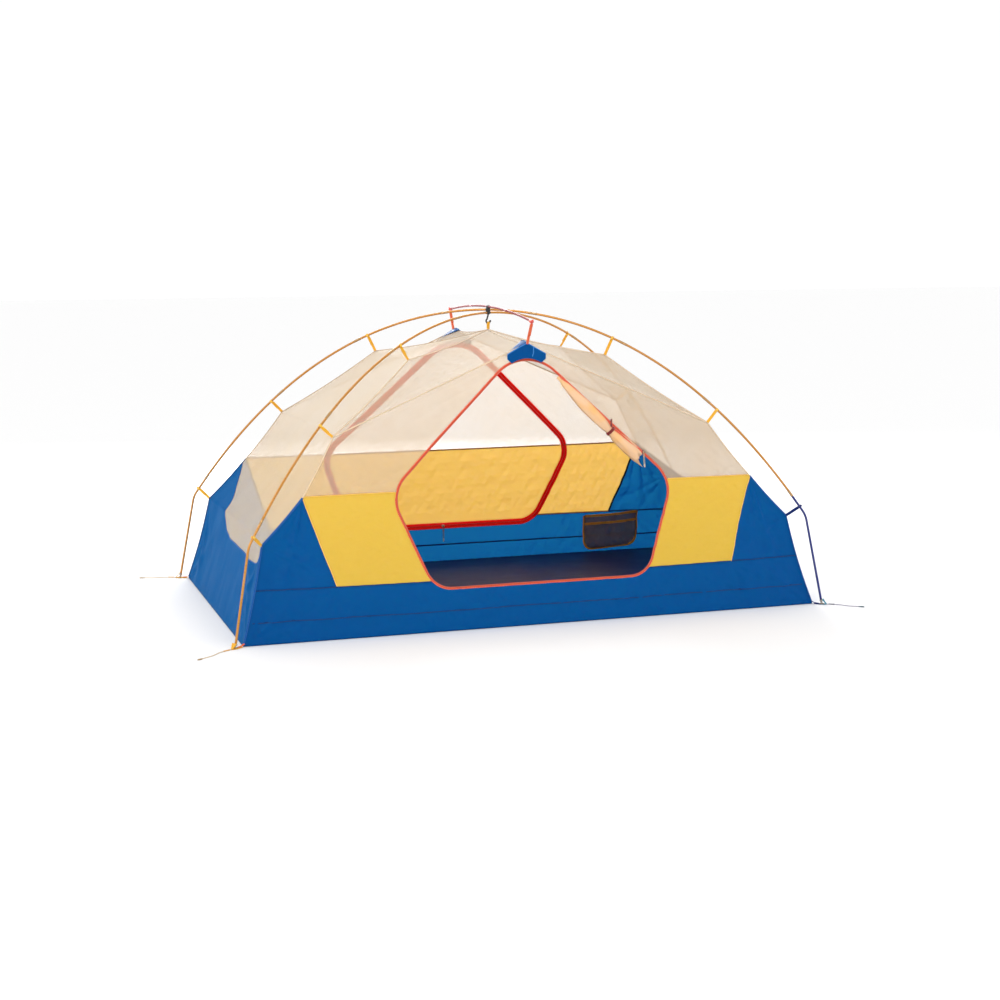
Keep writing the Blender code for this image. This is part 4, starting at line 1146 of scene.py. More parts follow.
def brow_facets(side):
    """Grids of the two facets behind the face: from its slanted top edge back over the roof to
    one point on the ridge seam."""
    edge = brow_face(side)[-1]
    back = np.array((0.0, side * (BROW_TOP[1] - BROW_BACK), BROW_TOP[2] + 0.0050))
    share = np.linspace(0, 1, 25)[:, None, None]
    grid = edge[None] * (1 - share) + back * share
    crown = 0.006 - 0.003 * np.abs(np.linspace(-1, 1, 65))
    grid[..., 2] += crown[None, :] * np.sin(math.pi * share[..., 0])
    return grid


for side_name, side in SIDES.items():
    panel("brow_reinforcement_" + side_name, [brow_face(side), brow_facets(side)], BLUE_CLOTH["front"],
          "blue_cloth", "brow_patch_" + side_name, (0.18, 0.20), thickness=0.0012)
    edge = brow_face(side)[-1] + np.array((0, side * 0.0006, 0.0010))
    spine = brow_facets(side)[:, 32] + np.array((0, 0, 0.0012))
    front = brow_face(side)[6:, 43] + np.array((0, side * 0.0010, 0))
    felled("brow_seams_" + side_name, [edge, spine, front], (0, side * 1.0, 0.6), BROW_SEAM_PAINTED_HIGHLIGHT,
           "blue_cloth")


# ---------------------------------------------------------------------------
# Gear pocket: dark netting sewn to the inside of the back wall on three sides, bound all round
# in copper tape, with a second tape across under its open mouth.
POCKET = {"left": 0.660, "right": 0.905, "bottom": 0.022, "top": 0.176, "depth": 0.018, "corner": 0.040}
POCKET_BAND = 0.138
POCKET_OFF = 0.004
POCKET_TILT = 0.055
POCKET_TAPE = 0.012


def pocket_outline(share):
    """Outline down the left side, along the foot and up the right, its lower corners arcs."""
    left, right, bottom, top, corner = (POCKET[k] for k in ("left", "right", "bottom", "top", "corner"))
    turn = np.linspace(0, math.pi / 2, 14)
    x = [np.full(14, left), left + corner - corner * np.cos(turn),
         np.linspace(left + corner, right - corner, 20), right - corner + corner * np.sin(turn),
         np.full(14, right)]
    z = [np.linspace(top, bottom + corner, 14), bottom + corner - corner * np.sin(turn),
         np.full(20, bottom), bottom + corner - corner * np.cos(turn),
         np.linspace(bottom + corner, top, 14)]
    x, z = np.concatenate(x), np.concatenate(z)
    run = np.concatenate([[0], np.cumsum(np.hypot(np.diff(x), np.diff(z)))])
    return np.interp(share * run[-1], run, x), np.interp(share * run[-1], run, z)


def pocket_point(x, z):
    """Point of the pocket's net: bellied off the wall by its depth times a rounded hump that is
    nothing at its sewn sides and foot and full at its mouth."""
    across = (x - POCKET["left"]) / (POCKET["right"] - POCKET["left"])
    up = np.clip((z - POCKET["bottom"]) / (POCKET["top"] - POCKET["bottom"]), 0, 1)
    hump = np.clip(np.sin(math.pi * np.clip(across, 0, 1)), 0, 1) ** 0.5 * np.sin(math.pi / 2 * up) ** 0.5
    point = wall(x, z + POCKET_TILT * (x - POCKET["left"] - 0.1), 1, -POCKET_OFF)
    point[..., 1] -= POCKET["depth"] * hump
    return point


def make_pocket():
    """The pocket's net and its bindings."""
    z = np.linspace(POCKET["bottom"], POCKET["top"], 41)[:, None]
    corner = POCKET["corner"]
    below = np.clip(POCKET["bottom"] + corner - z, 0, corner)
    short = corner - np.sqrt(np.clip(corner ** 2 - below ** 2, 0, None))
    low, high = POCKET["left"] + short, POCKET["right"] - short
    x = low + (high - low) * np.linspace(0, 1, 61)[None, :]
    net = net_look("pocket_net", (0.19, 0.12, 0.095), cell=0.0022, open_cover=0.45, shut_cover=0.85)
    panel("gear_pocket_net", [pocket_point(x, np.broadcast_to(z, x.shape))], net, "pocket_mesh",
          "mesh_pocket", (0.27, 0.17), thickness=NET_THICK)
    edge_x, edge_z = pocket_outline(np.linspace(0, 1, 120))
    ring = pocket_point(edge_x, edge_z)
    bands = []
    for level in (POCKET["top"] - 0.001, POCKET_BAND):
        span = np.linspace(POCKET["left"] + 0.002, POCKET["right"] - 0.002, 60)
        bands.append(pocket_point(span, np.full(60, level)) - np.array((0, 0.0008, 0)))
    tape("gear_pocket_binding", [ring] + bands, [(0, -1, -0.2)] * 3, POCKET_TAPE,
         tape_look("ochre_binding", (0.60, 0.25, 0.030), POCKET_TAPE, glow=0.6), "front_zip_cloth")


make_pocket()


# ---------------------------------------------------------------------------
# Poles: two long arches of anodised aluminium tube that cross in the middle.  Each is a row of
# sections on an elastic cord, with a ferrule over every joint and a pre-bent elbow at each end;
# the two right-hand end sections are blue so that a pitcher can tell the ends apart.
POLE_RADIUS = 0.0045
FERRULE_RADIUS = 0.0051
FERRULE_LENGTH = 0.034
ELBOW_REACH = 1.258
ELBOW_HEIGHT = 0.350
END_REACH = 1.190
HUB_HEIGHT = 1.128
ARCH_SQUARE = 0.418
ARCH_FOURTH = 0.0465
POLE_STACK = 0.006
POLE_ENDS = {"a": ("front_left", "back_right"), "b": ("back_left", "front_right")}
POLE_TURNS = {"a": 1, "b": -1}
FOOT_REACH = math.hypot(*FOOT)
SECTION_REACHES = (-0.868, -0.54, -0.18, 0.18, 0.54, 0.868)


def arch_height(reach):
    """Height of an arch at a horizontal distance from the middle: a shallow fourth-power curve."""
    return HUB_HEIGHT - ARCH_SQUARE * reach ** 2 - ARCH_FOURTH * reach ** 4


def pole_points(pole, reach, height=None):
    """Points on a pole's centre line; one pole passes just under the other in the middle."""
    reach = np.asarray(reach, float)
    lift = -POLE_STACK if pole == "a" else POLE_STACK
    if height is None:
        height = arch_height(reach) + lift * (1 - (reach / ELBOW_REACH) ** 2)
    height = np.broadcast_to(height, reach.shape)
    x = reach * FOOT[0] / FOOT_REACH
    y = reach * FOOT[1] / FOOT_REACH * POLE_TURNS[pole]
    return np.stack([x, y, height], -1)


def metal_group():
    """Anodised tube: colour that pales a little where it is rubbed, and a fine drawn grain."""
    tree, inside, outside = new_group(
        "anodised",
        (("Colour", "Color", (1, 1, 1, 1)), ("Roughness", "Float", 0.3), ("Wear", "Float", 0.3)),
        (("Colour", "Color"), ("Roughness", "Float"), ("Normal", "Vector")))
    fine = noise(tree, 220, 3)
    broad = noise(tree, 14, 6)
    rubbed = shade(tree, inside["Colour"], 1.25, 0.72)
    share = times(tree, times(tree, node_math(tree, "POWER", broad, 3), inside["Wear"]), 3)
    feed(tree, outside["Colour"], mixed_colour(tree, share, inside["Colour"], rubbed))
    rough = times(tree, node_math(tree, "SUBTRACT", fine, 0.5), 0.22)
    feed(tree, outside["Roughness"], plus(tree, rough, inside["Roughness"]))
    feed(tree, outside["Normal"], raised(tree, fine, 0.0001, 0.25))
    return tree


ANODISED = metal_group()


def metal_look(name, colour, roughness=0.3, metallic=0.75, wear=0.3):
    """A Principled metal on the anodised group."""
    look, tree, shader = principled(name)
    values = {"Colour": (*colour, 1), "Roughness": roughness, "Wear": wear}
    use_group(tree, shader, ANODISED, values,
              {"Colour": "Base Color", "Roughness": "Roughness", "Normal": "Normal"})
    shader.inputs["Metallic"].default_value = metallic
    return look


GOLD_POLE = metal_look("gold_pole", (0.60, 0.26, 0.045))
BLUE_POLE = metal_look("blue_pole", (0.035, 0.045, 0.20))
FERRULE = metal_look("ferrule", (0.52, 0.30, 0.12), roughness=0.22, metallic=0.9)
TIP_METAL = metal_look("pole_tip", (0.45, 0.40, 0.34), roughness=0.35, metallic=0.9)


def end_points(pole, hand):
    """Points down an end section: the last of the arch, the elbow as a quadratic curve between
    its two straight arms, and the leg to its foot."""
    elbow = pole_points(pole, hand * ELBOW_REACH, ELBOW_HEIGHT)
    foot = pole_points(pole, hand * FOOT_REACH, 0.0)
    upper = pole_points(pole, hand * END_REACH)
    arm = (upper - elbow) / np.linalg.norm(upper - elbow)
    leg = (foot - elbow) / np.linalg.norm(foot - elbow)
    start, finish = elbow + arm * 0.022, elbow + leg * 0.022
    t = np.linspace(0, 1, 15)[:, None]
    bend = start * (1 - t) ** 2 + 2 * elbow * t * (1 - t) + finish * t ** 2
    bottom = foot - leg * (0.012 / -leg[2])
    straight = finish + (bottom - finish) * np.linspace(0, 1, 14)[1:, None]
    return np.concatenate([upper + (start - upper) * np.linspace(0, 1, 8)[:-1, None], bend, straight])


def ferrule(path):
    """A sleeve on a short piece of a pole: a tube a little wider than it with rolled ends."""
    swell = np.array((0.86, 0.97, 1.0, 1.0, 0.965, 0.965, 1.0, 1.0, 0.97, 0.86))
    at = np.array((0.0, 0.02, 0.05, 0.46, 0.48, 0.52, 0.54, 0.95, 0.98, 1.0))
    return capped(carried(chain(path, at), round_section(FERRULE_RADIUS, 20), swell))


def turned(place, direction, profile, sides=20):
    """Grid of a turned shape: a profile of distances along a direction from a place, and radii,
    closed at both ends by a radius of nothing."""
    direction = np.asarray(direction, float) / np.linalg.norm(direction)
    profile = np.array([(profile[0][0], 0.0), *profile, (profile[-1][0], 0.0)])
    path = np.asarray(place, float) + direction * profile[:, :1]
    helper = (1.0, 0.0, 0.0) if abs(direction[0]) < 0.8 else (0.0, 1.0, 0.0)
    side = np.cross(direction, helper)
    side /= np.linalg.norm(side)
    other = np.cross(direction, side)
    turn = np.linspace(0, 2 * math.pi, sides + 1)
    ring = np.cos(turn)[:, None] * side + np.sin(turn)[:, None] * other
    return path[:, None] + ring[None] * profile[:, 1][:, None, None]


def made(name, grids, look, node=None, body="tent"):
    """A solid piece from closed grids, riding on a body and standing for a node."""
    return placed(surface(name, grids, look), node, body)


POLE_TIP = ((-0.006, 0.0054), (-0.004, 0.0058), (0.0, 0.0058), (0.002, 0.0040), (0.003, 0.0034),
            (0.0065, 0.0034), (0.0075, 0.0044), (0.0095, 0.0044), (0.0105, 0.0030), (0.0112, 0.0012))


def make_poles():
    """Both arches, their end sections, ferrules and tips, and the cord inside."""
    for pole, ends in POLE_ENDS.items():
        reach = np.linspace(-END_REACH, END_REACH, 241)
        arch = rod("arch_tube_" + pole, [pole_points(pole, reach)], POLE_RADIUS, GOLD_POLE, 20)
        placed(arch, "main_pole_" + pole)
        sleeves = []
        for at in SECTION_REACHES:
            half = FERRULE_LENGTH / 2 / math.hypot(1, 2 * ARCH_SQUARE * at)
            sleeves.append(ferrule(pole_points(pole, np.linspace(at - half, at + half, 9))))
        for hand in (-1, 1):
            sleeves.append(ferrule(chain(end_points(pole, hand)[:3], np.linspace(0, 1, 5))))
        made("ferrules_" + pole, sleeves, FERRULE)
        for corner, hand in zip(ends, (-1, 1)):
            look, finish = (GOLD_POLE, "gold_pole") if hand < 0 else (BLUE_POLE, "blue_pole")
            leg = end_points(pole, hand)
            placed(rod("elbow_tube_" + corner, [leg], POLE_RADIUS, look, 20), "pole_end_" + corner)
            down = leg[-1] - leg[-2]
            down /= np.linalg.norm(down)
            made("pole_tip_" + corner, [turned(leg[-1], down, POLE_TIP)], TIP_METAL)
        elastic = cloth_look("elastic_" + pole, (0.72, 0.70, 0.66), roughness=0.8, thread=0.0008,
                             grid=0.01)
        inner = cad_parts["shock_cord_" + pole]
        inner.data.materials.clear()
        inner.data.materials.append(elastic)


make_poles()


# ---------------------------------------------------------------------------
# Ridge pole: a short burgundy tube that crosses over the arches from front to back and holds
# both brows out.  A red moulded cap closes each end, and it has one ferrule either side.
RIDGE_HALF = 0.528
RIDGE_MIDDLE = 1.1462
RIDGE_END = 1.112
RIDGE_RADIUS = 0.0043
BURGUNDY = (0.30, 0.028, 0.040)
CAP_RED = (0.70, 0.09, 0.07)


def ridge_points(y):
    """Points of the ridge pole's centre line, a shallow parabola."""
    y = np.asarray(y, float)
    z = RIDGE_MIDDLE + (RIDGE_END - RIDGE_MIDDLE) * (y / RIDGE_HALF) ** 2
    return np.stack([np.zeros_like(y), y, z], -1)


def plastic_look(name, colour, roughness=0.42, grain=0.35):
    """Moulded nylon: an even colour with a fine eggshell grain and faint flow marks."""
    look, tree, shader = principled(name)
    flow = noise(tree, 60)
    pale = tuple(min(1.0, value * 1.35 + 0.01) for value in colour)
    feed(tree, shader.inputs["Base Color"], mixed_colour(tree, flow, (*colour, 1), (*pale, 1)))
    feed(tree, shader.inputs["Normal"], raised(tree, noise(tree, 900), 0.0002, grain))
    feed(tree, shader.inputs["Roughness"], plus(tree, times(tree, flow, 0.15), roughness - 0.07))
    return look


RED_PLASTIC = plastic_look("red_plastic", CAP_RED)
BLACK_PLASTIC = plastic_look("black_plastic", (0.012, 0.012, 0.014))

RIDGE_LOOK = metal_look("burgundy_pole", BURGUNDY, roughness=0.45, metallic=0.2, wear=0.3)
RIDGE_CAP = ((-0.014, 0.0046), (-0.012, 0.0052), (0.004, 0.0054), (0.005, 0.0062), (0.0095, 0.0062),
             (0.0108, 0.0050), (0.0112, 0.0020))

ridge_line = ridge_points(np.linspace(-RIDGE_HALF, RIDGE_HALF, 81))
placed(rod("ridge_tube", [ridge_line], RIDGE_RADIUS, RIDGE_LOOK, 20, facing=(1, 0, 0)),
       "ridge_pole")
caps, sleeves = [], []
for side in (-1, 1):
    tip = ridge_points(side * (RIDGE_HALF - 0.011))
    outward = ridge_points(side * RIDGE_HALF) - ridge_points(side * (RIDGE_HALF - 0.02))
    caps.append(turned(tip, outward, RIDGE_CAP))
    sleeves.append(ferrule(ridge_points(side * np.linspace(0.20, 0.20 + FERRULE_LENGTH, 7))))
made("ridge_caps", caps, RED_PLASTIC)
made("ridge_ferrules", sleeves, metal_look("burgundy_ferrule", (0.34, 0.07, 0.09), roughness=0.22))


# ---------------------------------------------------------------------------
# Hub: a small black nylon swivel that keeps the three poles together where they cross, with a
# hook under it that the tent's peak hangs from by a golden strap.
HUB_HALVES = (0.0074, 0.0074, 0.0165)
HUB_CENTRE = 1.1310
HUB_SQUARENESS = 0.55
HOOK_WIRE = 0.0032
HOOK_TURN = 0.0085
STRAP_WIDTH = 0.011
STRAP_THICK = 0.0016
STRAP_COLOURS = {"yellow": (0.90, 0.46, 0.045), "blue": (0.012, 0.030, 0.16),
                 "coral": (0.80, 0.16, 0.07), "teal": (0.03, 0.22, 0.32)}
COLLAR = ((-0.0095, 0.0048), (-0.009, 0.0062), (-0.007, 0.0064), (0.007, 0.0064), (0.009, 0.0062),
          (0.0095, 0.0048))
WEBBING_TAPE = {name: tape_look(name + "_strap", colour, STRAP_WIDTH, rib=0.0017)
                for name, colour in STRAP_COLOURS.items()}


def rounded_block(centre, halves, power, rows=24, sides=32):
    """A block with round edges, a superellipsoid: sines and cosines of two angles, each raised
    to the same power with its sign kept."""
    v = np.linspace(-math.pi / 2, math.pi / 2, rows)[:, None]
    u = np.linspace(0, 2 * math.pi, sides + 1)[None, :]

    def shaped(value):
        """A value raised to the power with its sign kept."""
        return np.sign(value) * np.abs(value) ** power

    x = shaped(np.cos(v)) * shaped(np.cos(u))
    y = shaped(np.cos(v)) * shaped(np.sin(u))
    z = shaped(np.sin(v)) * np.ones_like(u)
    return np.stack([x, y, z], -1) * np.asarray(halves) + np.asarray(centre)


def ribbon_grid(route, width, thick, across):
    """Grid of a flat strap along a route; `across` is the direction its width lies in."""
    route = np.asarray(route, float)
    facing = np.cross(np.asarray(across, float), np.gradient(route, axis=0))
    return capped(carried(route, flat_section(width, thick), None, facing))


def make_hub():
    """The swivel's body, its three collars, its hook and the peak's strap."""
    grids = [rounded_block((0, 0, HUB_CENTRE), HUB_HALVES, HUB_SQUARENESS)]
    for pole in POLE_TURNS:
        low, high = pole_points(pole, np.array((-0.01, 0.01)))
        grids.append(turned((low + high) / 2, high - low, COLLAR))
    grids.append(turned((0, 0, RIDGE_MIDDLE), (0, 1, 0), COLLAR))
    made("hub_swivel", grids, BLACK_PLASTIC, "hub_block")
    top = HUB_CENTRE - HUB_HALVES[2] + 0.004
    turn = np.linspace(math.radians(95), math.radians(355), 26)
    eye = PEAK + 0.0335
    hook = np.stack([HOOK_TURN * np.cos(turn), np.zeros(26), eye + HOOK_TURN * np.sin(turn)], -1)
    shank = np.array(((0.0, 0.0, top), (0.0, 0.0, top - 0.005), (-0.0035, 0.0, eye + HOOK_TURN + 0.003)))
    route = smooth_route(np.concatenate([shank, hook[3:]]), 60)
    tip = rounded_block(route[-1], (0.0042,) * 3, 1.0, 14, 18)
    made("hub_hook", [tube_grid(route, HOOK_WIRE, (0, 1, 0)), tip], BLACK_PLASTIC)
    bottom = PEAK + 0.0015
    low = eye - HOOK_TURN
    half_loop = ((0.0016, bottom), (0.0022, (bottom + low) / 2), (0.0042, low - 0.001),
                 (0.0028, low + 0.0042))
    loop = [(0.0, y, z) for y, z in half_loop] + [(0.0, -y, z) for y, z in half_loop[::-1]]
    strap = ribbon_grid(smooth_route(loop, 60), STRAP_WIDTH, STRAP_THICK, (1, 0, 0))
    made("peak_loop", [strap], WEBBING_TAPE["yellow"], "peak_strap")


make_hub()


# ---------------------------------------------------------------------------
# Clips: a moulded hook that snaps round a pole, on a short strap folded through its eye and sewn
# down to the corner seam.  Golden, but for the two low ones at the blue pole ends.  A coral one
# at each end of the ridge pole holds up a brow.
HOOK_RADIUS = 0.0062
HOOK_WALL = 0.0026
HOOK_WIDTH = 0.009
HOOK_ARC = (-2.55, 1.75)
EYE_GAP = 0.0050
EYE_HALF = 0.0056
EYE_WIRE = 0.0017
NECK_WIRE = 0.0013


def pole_hook(at, run, down):
    """Grid of a hook: a flat moulded section carried round most of the pole and out to a lip."""
    sideways = np.cross(run, down)
    turn = np.linspace(*HOOK_ARC, 30)
    lip = 0.003 * np.clip((np.abs(turn + 0.4) - 1.75) / 0.4, 0, 1) ** 2
    ring = np.cos(turn)[:, None] * down + np.sin(turn)[:, None] * sideways
    return ribbon_grid(at + (HOOK_RADIUS + lip)[:, None] * ring, HOOK_WIDTH, HOOK_WALL, run)


def clip_and_strap(name, at, run, seam, colour, plastic, node, broad=None):
    """A hook, the bar under it, and the doubled strap from the bar to the seam; the strap lies
    broad along the pole, or along the direction given."""
    run = run / np.linalg.norm(run)
    down = seam - at
    down = down - run * (down @ run)
    down /= np.linalg.norm(down)
    bar = at + down * (HOOK_RADIUS + EYE_GAP)
    body = [pole_hook(at, run, down)]
    neck = np.stack([at + down * (HOOK_RADIUS + offset) for offset in (0.0, 0.002, 0.004)])
    for edge in (-1, 1):
        body.append(tube_grid(neck + run * edge * 0.0040, NECK_WIRE, run))
    broad = run if broad is None else np.asarray(broad, float)
    body.append(tube_grid(np.stack([bar - broad * EYE_HALF, bar, bar + broad * EYE_HALF]), EYE_WIRE, down))
    made(name + "_hook", body, plastic)
    normal = np.cross(broad, down)
    length = np.linalg.norm(seam - bar)
    away = (seam - bar) / length
    share = np.linspace(0, 1, 24)[:, None]
    front = seam + away * 0.001 - away * (length + 0.001) * share
    front = front + normal * 0.0012 * np.sin(math.pi * share)
    turn = np.linspace(0, math.pi, 10)[1:-1, None]
    wrap = bar + normal * 0.0024 * np.cos(turn) - away * 0.0026 * np.sin(turn)
    behind = (bar + away * (length * 0.55) * share) - normal * 0.0020
    route = np.concatenate([front + normal * 0.0010, wrap, behind])
    made(name, [ribbon_grid(route, STRAP_WIDTH, 0.0012, broad)], WEBBING_TAPE[colour], node)


PLASTIC = {"yellow": plastic_look("golden_plastic", (0.85, 0.47, 0.05)),
           "blue": plastic_look("blue_plastic", (0.010, 0.025, 0.14)),
           "coral": plastic_look("coral_plastic", (0.78, 0.13, 0.08))}
CLIP_REACHES = {"low": (1.235, 1), "middle": (0.910, 3), "high": (0.497, 4)}

for pole, ends in POLE_ENDS.items():
    for corner, hand in zip(ends, (-1, 1)):
        side = SIDES[corner.split("_")[0]]
        for level, (reach, row) in CLIP_REACHES.items():
            at = pole_points(pole, hand * reach)
            run = pole_points(pole, hand * (reach - 0.01)) - at
            height, x, y = CORNER_SEAM[row]
            seam = np.array((hand * x, side * y, height))
            colour = "blue" if level == "low" and hand > 0 else "yellow"
            clip_and_strap(f"clip_strap_{level}_{corner}", at, run, seam, colour, PLASTIC[colour],
                           f"pole_clip_{level}_{corner}")

RIDGE_GRIP = 0.520
for side_name, side in SIDES.items():
    at = ridge_points(side * RIDGE_GRIP)
    run = ridge_points(side * (RIDGE_GRIP - 0.01)) - at
    brow = np.array((0.0, side * (BROW_TOP[1] + 0.0095), BROW_TOP[2] - 0.004))
    clip_and_strap("brow_strap_" + side_name, at, run, brow, "coral", PLASTIC["coral"],
                   "ridge_strap_" + side_name, (1, 0, 0))


# ---------------------------------------------------------------------------
# Corner tabs: webbing from each floor corner that runs out under the pole's foot, where a brass
# eyelet takes the pole's tip, and on to the stake cord.  Golden at the left end, navy then teal
# at the right.  A second ply is folded over and stands up against the pole.
TAB_THICK = 0.0016
EYELET_RADIUS = 0.0068
TAB_COLOURS = {"left": ("yellow", "yellow"), "right": ("blue", "teal")}


def strap_grid(route, halves, thick, facing=(0, 0, 1)):
    """Grid of a strap whose half width changes along its route, with rounded edges."""
    section = flat_section(2.0, 1.0)
    tangent = np.gradient(route, axis=0)
    tangent /= np.linalg.norm(tangent, axis=1)[:, None]
    facing = np.asarray(facing, float)
    normal = facing - (tangent @ facing)[:, None] * tangent
    normal /= np.linalg.norm(normal, axis=1)[:, None]
    side = np.cross(tangent, normal)
    across = side[:, None] * section[None, :, :1] * np.asarray(halves)[:, None, None]
    return capped(route[:, None] + across + normal[:, None] * section[None, :, 1:] * thick)


def ring_grid(centre, radius, wire, normal=(0, 0, 1)):
    """Grid of a ring of round wire about a normal."""
    normal = np.asarray(normal, float) / np.linalg.norm(normal)
    helper = np.array((1.0, 0, 0)) if abs(normal[0]) < 0.8 else np.array((0, 1.0, 0))
    side = np.cross(normal, helper)
    side /= np.linalg.norm(side)
    turn = np.linspace(0, 2 * math.pi, 40, endpoint=False)[:, None]
    path = centre + radius * (np.cos(turn) * side + np.sin(turn) * np.cross(normal, side))
    return carried(path, round_section(wire, 10), None, normal, True)


def make_tabs():
    """The plies of each tab, its eyelet and the short webbing at the floor corner."""
    eyelets = []
    for (hand_name, side_name), run in STAKE_RUNS.items():
        hand, side = HANDS[hand_name], SIDES[side_name]
        corner = f"{side_name}_{hand_name}"
        foot = np.array((hand * FOOT[0], side * FOOT[1], TAB_LEVEL))
        floor = np.array((hand * FLOOR_LENGTH / 2, side * FLOOR_WIDTH / 2, TAB_LEVEL))
        inward = (foot - floor) / np.linalg.norm(foot - floor)
        outward = np.array((*run, 0.0)) / math.hypot(*run)
        near, far = TAB_COLOURS[hand_name]
        knots = np.stack([floor + inward * 0.005, foot - inward * 0.012, foot, foot + outward * TAB_REACH])
        route = smooth_route(knots, 31)
        halves = np.interp(np.linspace(0, 3, 31), (0, 1, 2, 3), (0.006, 0.010, 0.012, 0.004))
        split = 17
        made("corner_tab_outer_" + corner, [strap_grid(route[split:], halves[split:], TAB_THICK)],
             WEBBING_TAPE[far], "corner_tab_" + corner)
        made("corner_tab_inner_" + corner, [strap_grid(route[:split + 1], halves[:split + 1], TAB_THICK)],
             WEBBING_TAPE[near])
        rise = np.array((0, 0, 1.0))
        fold = smooth_route([foot + outward * (TAB_REACH - 0.002) + rise * 0.0014,
                             foot + outward * 0.011 + rise * 0.0085,
                             foot + outward * 0.003 + rise * 0.0190], 17)
        made("corner_tab_fold_" + corner, [strap_grid(fold, np.linspace(0.0040, 0.0105, 17), TAB_THICK)],
             WEBBING_TAPE[far])
        stub = smooth_route([floor + rise * 0.010 - inward * 0.004, floor + inward * 0.006 + rise * 0.0046,
                             floor + inward * 0.024 + rise * 0.0018], 15)
        made("corner_stub_" + corner, [strap_grid(stub, np.full(15, 0.0052), 0.0014)],
             WEBBING_TAPE["coral" if hand < 0 else "blue"])
        eyelets.append(ring_grid(foot + rise * 0.0014, EYELET_RADIUS, 0.0011))
    made("eyelets", eyelets, FERRULE)


make_tabs()


# ---------------------------------------------------------------------------
# Rolled front door: the door's whole panel, netting with a golden lower part, rolled up tight
# and gathered against the right leg of the opening.  A dark red tie pinches it half way along.
ROLL_SPOTS = np.array(((0.112, 0.903), (0.146, 0.866), (0.210, 0.799), (0.284, 0.723), (0.334, 0.672),
                       (0.384, 0.624), (0.408, 0.602)))
ROLL_OUT = 0.030
ROLL_TURNS = 23
ROLL_CORE = 0.0022
ROLL_NET = 0.0002
ROLL_WIDTHS = ((0.0, 0.0070), (0.06, 0.0062), (0.16, 0.0130), (0.36, 0.0215), (0.50, 0.0200), (0.575, 0.0125),
               (0.65, 0.0200), (0.80, 0.0255), (0.93, 0.0245), (1.0, 0.0190))
ROLL_TIE = 0.575
ROLL_FLAP = 0.040
ROLL_START = 2.65
ROLL_ROWS = 61


def roll_radius(share):
    """Radius of the bundle along it: wide in the slack, narrow under the tie and at its top."""
    at, wide = np.array(ROLL_WIDTHS).T
    shifts = np.linspace(-1, 1, 7) * 0.03
    return sum(np.interp(share + shift, at, wide) for shift in shifts) / 7


def rolled_point(turn, share, layer):
    """Point of the rolled cloth: a spiral about the bundle's own line whose radius grows evenly
    with the turn, with lengthwise folds that all layers share and a corner that hangs lower."""
    line = smooth_route(wall(ROLL_SPOTS[:, 0], ROLL_SPOTS[:, 1], -1, ROLL_OUT), 80)
    at = np.linspace(0, 1, 80)
    wave = 1 + 0.12 * np.sin(3 * turn + 5 * share) + 0.08 * np.sin(7 * turn - 9 * share)
    wave += 0.09 * np.sin(12 * turn + 13 * share)
    pinch = np.exp(-((share - ROLL_TIE) / 0.09) ** 2)
    wave += 0.09 * pinch * np.sin(11 * turn)
    radius = (ROLL_CORE + (roll_radius(share) - ROLL_CORE) * layer) * wave
    axis = line[-1] - line[0]
    axis /= np.linalg.norm(axis)
    normal = np.array((0.0, -1.0, 0.25))
    normal -= axis * (normal @ axis)
    normal /= np.linalg.norm(normal)
    side = np.cross(axis, normal)
    centre = np.stack([np.interp(share, at, line[:, k]) for k in range(3)], -1)
    corner = np.clip(np.cos(turn + 0.4), 0, 1) ** 1.5
    hang = ROLL_FLAP * ramp(share - 0.80, 0.2) ** 2 * layer ** 3 * corner
    ends = 0.010 * ramp(share - 0.9, 0.1) * np.sin(5 * turn + 2)
    offset = np.cos(turn)[..., None] * side + np.sin(turn)[..., None] * normal * 0.8
    return centre + offset * radius[..., None] + axis * (hang + ends)[..., None]


def roll_look():
    """Rolled netting over golden cloth: the two show through each other in soft patches."""
    look = cloth_look("rolled_door", (0.90, 0.58, 0.35), roughness=0.7, thread=0.0012, grid=0.01,
                      grid_strength=0.1, depth=0.3, uneven=0.04, specular=0.1)
    tree = look.node_tree
    shader = tree.nodes["Principled BSDF"]
    base = shader.inputs["Base Color"].links[0].from_socket
    streak = times(tree, node_math(tree, "SUBTRACT", noise(tree, 13, 2), 0.40), 3.2)
    streak = node_math(tree, "MINIMUM", node_math(tree, "MAXIMUM", streak, 0.0), 0.75)
    feed(tree, shader.inputs["Base Color"], mixed_colour(tree, streak, base, (0.94, 0.50, 0.15, 1)))
    return look


def make_roll():
    """The rolled panel, the zip edge along its outer turn, and its tie."""
    turn = np.linspace(0, 2 * math.pi * ROLL_TURNS, ROLL_TURNS * 18 + 1)[None, :]
    share = np.linspace(0, 1, ROLL_ROWS)[:, None]
    layer = np.broadcast_to(turn / turn.max(), (ROLL_ROWS, turn.shape[1]))
    turn = np.broadcast_to(turn, layer.shape) + ROLL_START
    grid = rolled_point(turn, np.broadcast_to(share, layer.shape), layer)
    roll = placed(surface("rolled_door", [grid], roll_look(), ROLL_NET), "rolled_front_door")
    edge = grid[:, -1] + np.array((0.0, -0.0010, 0.0006))
    hem = tape("rolled_door_zip_edge", [edge], [(0.3, -1, 0.6)], 0.008,
               tape_look("rolled_zip", CORAL, 0.008), "front_zip_cloth")
    turn = np.linspace(0, 2 * math.pi, 48, endpoint=False)
    rings = [rolled_point(turn, np.full(48, ROLL_TIE + shift), np.full(48, 1.20))
             for shift in (-0.006, 0.008)]
    red = webbing_look("dark_red_tie", (0.28, 0.012, 0.010))
    placed(rod("door_tie", rings, 0.0028, red, 10, closed=True))
    return grid


roll_grid = make_roll()

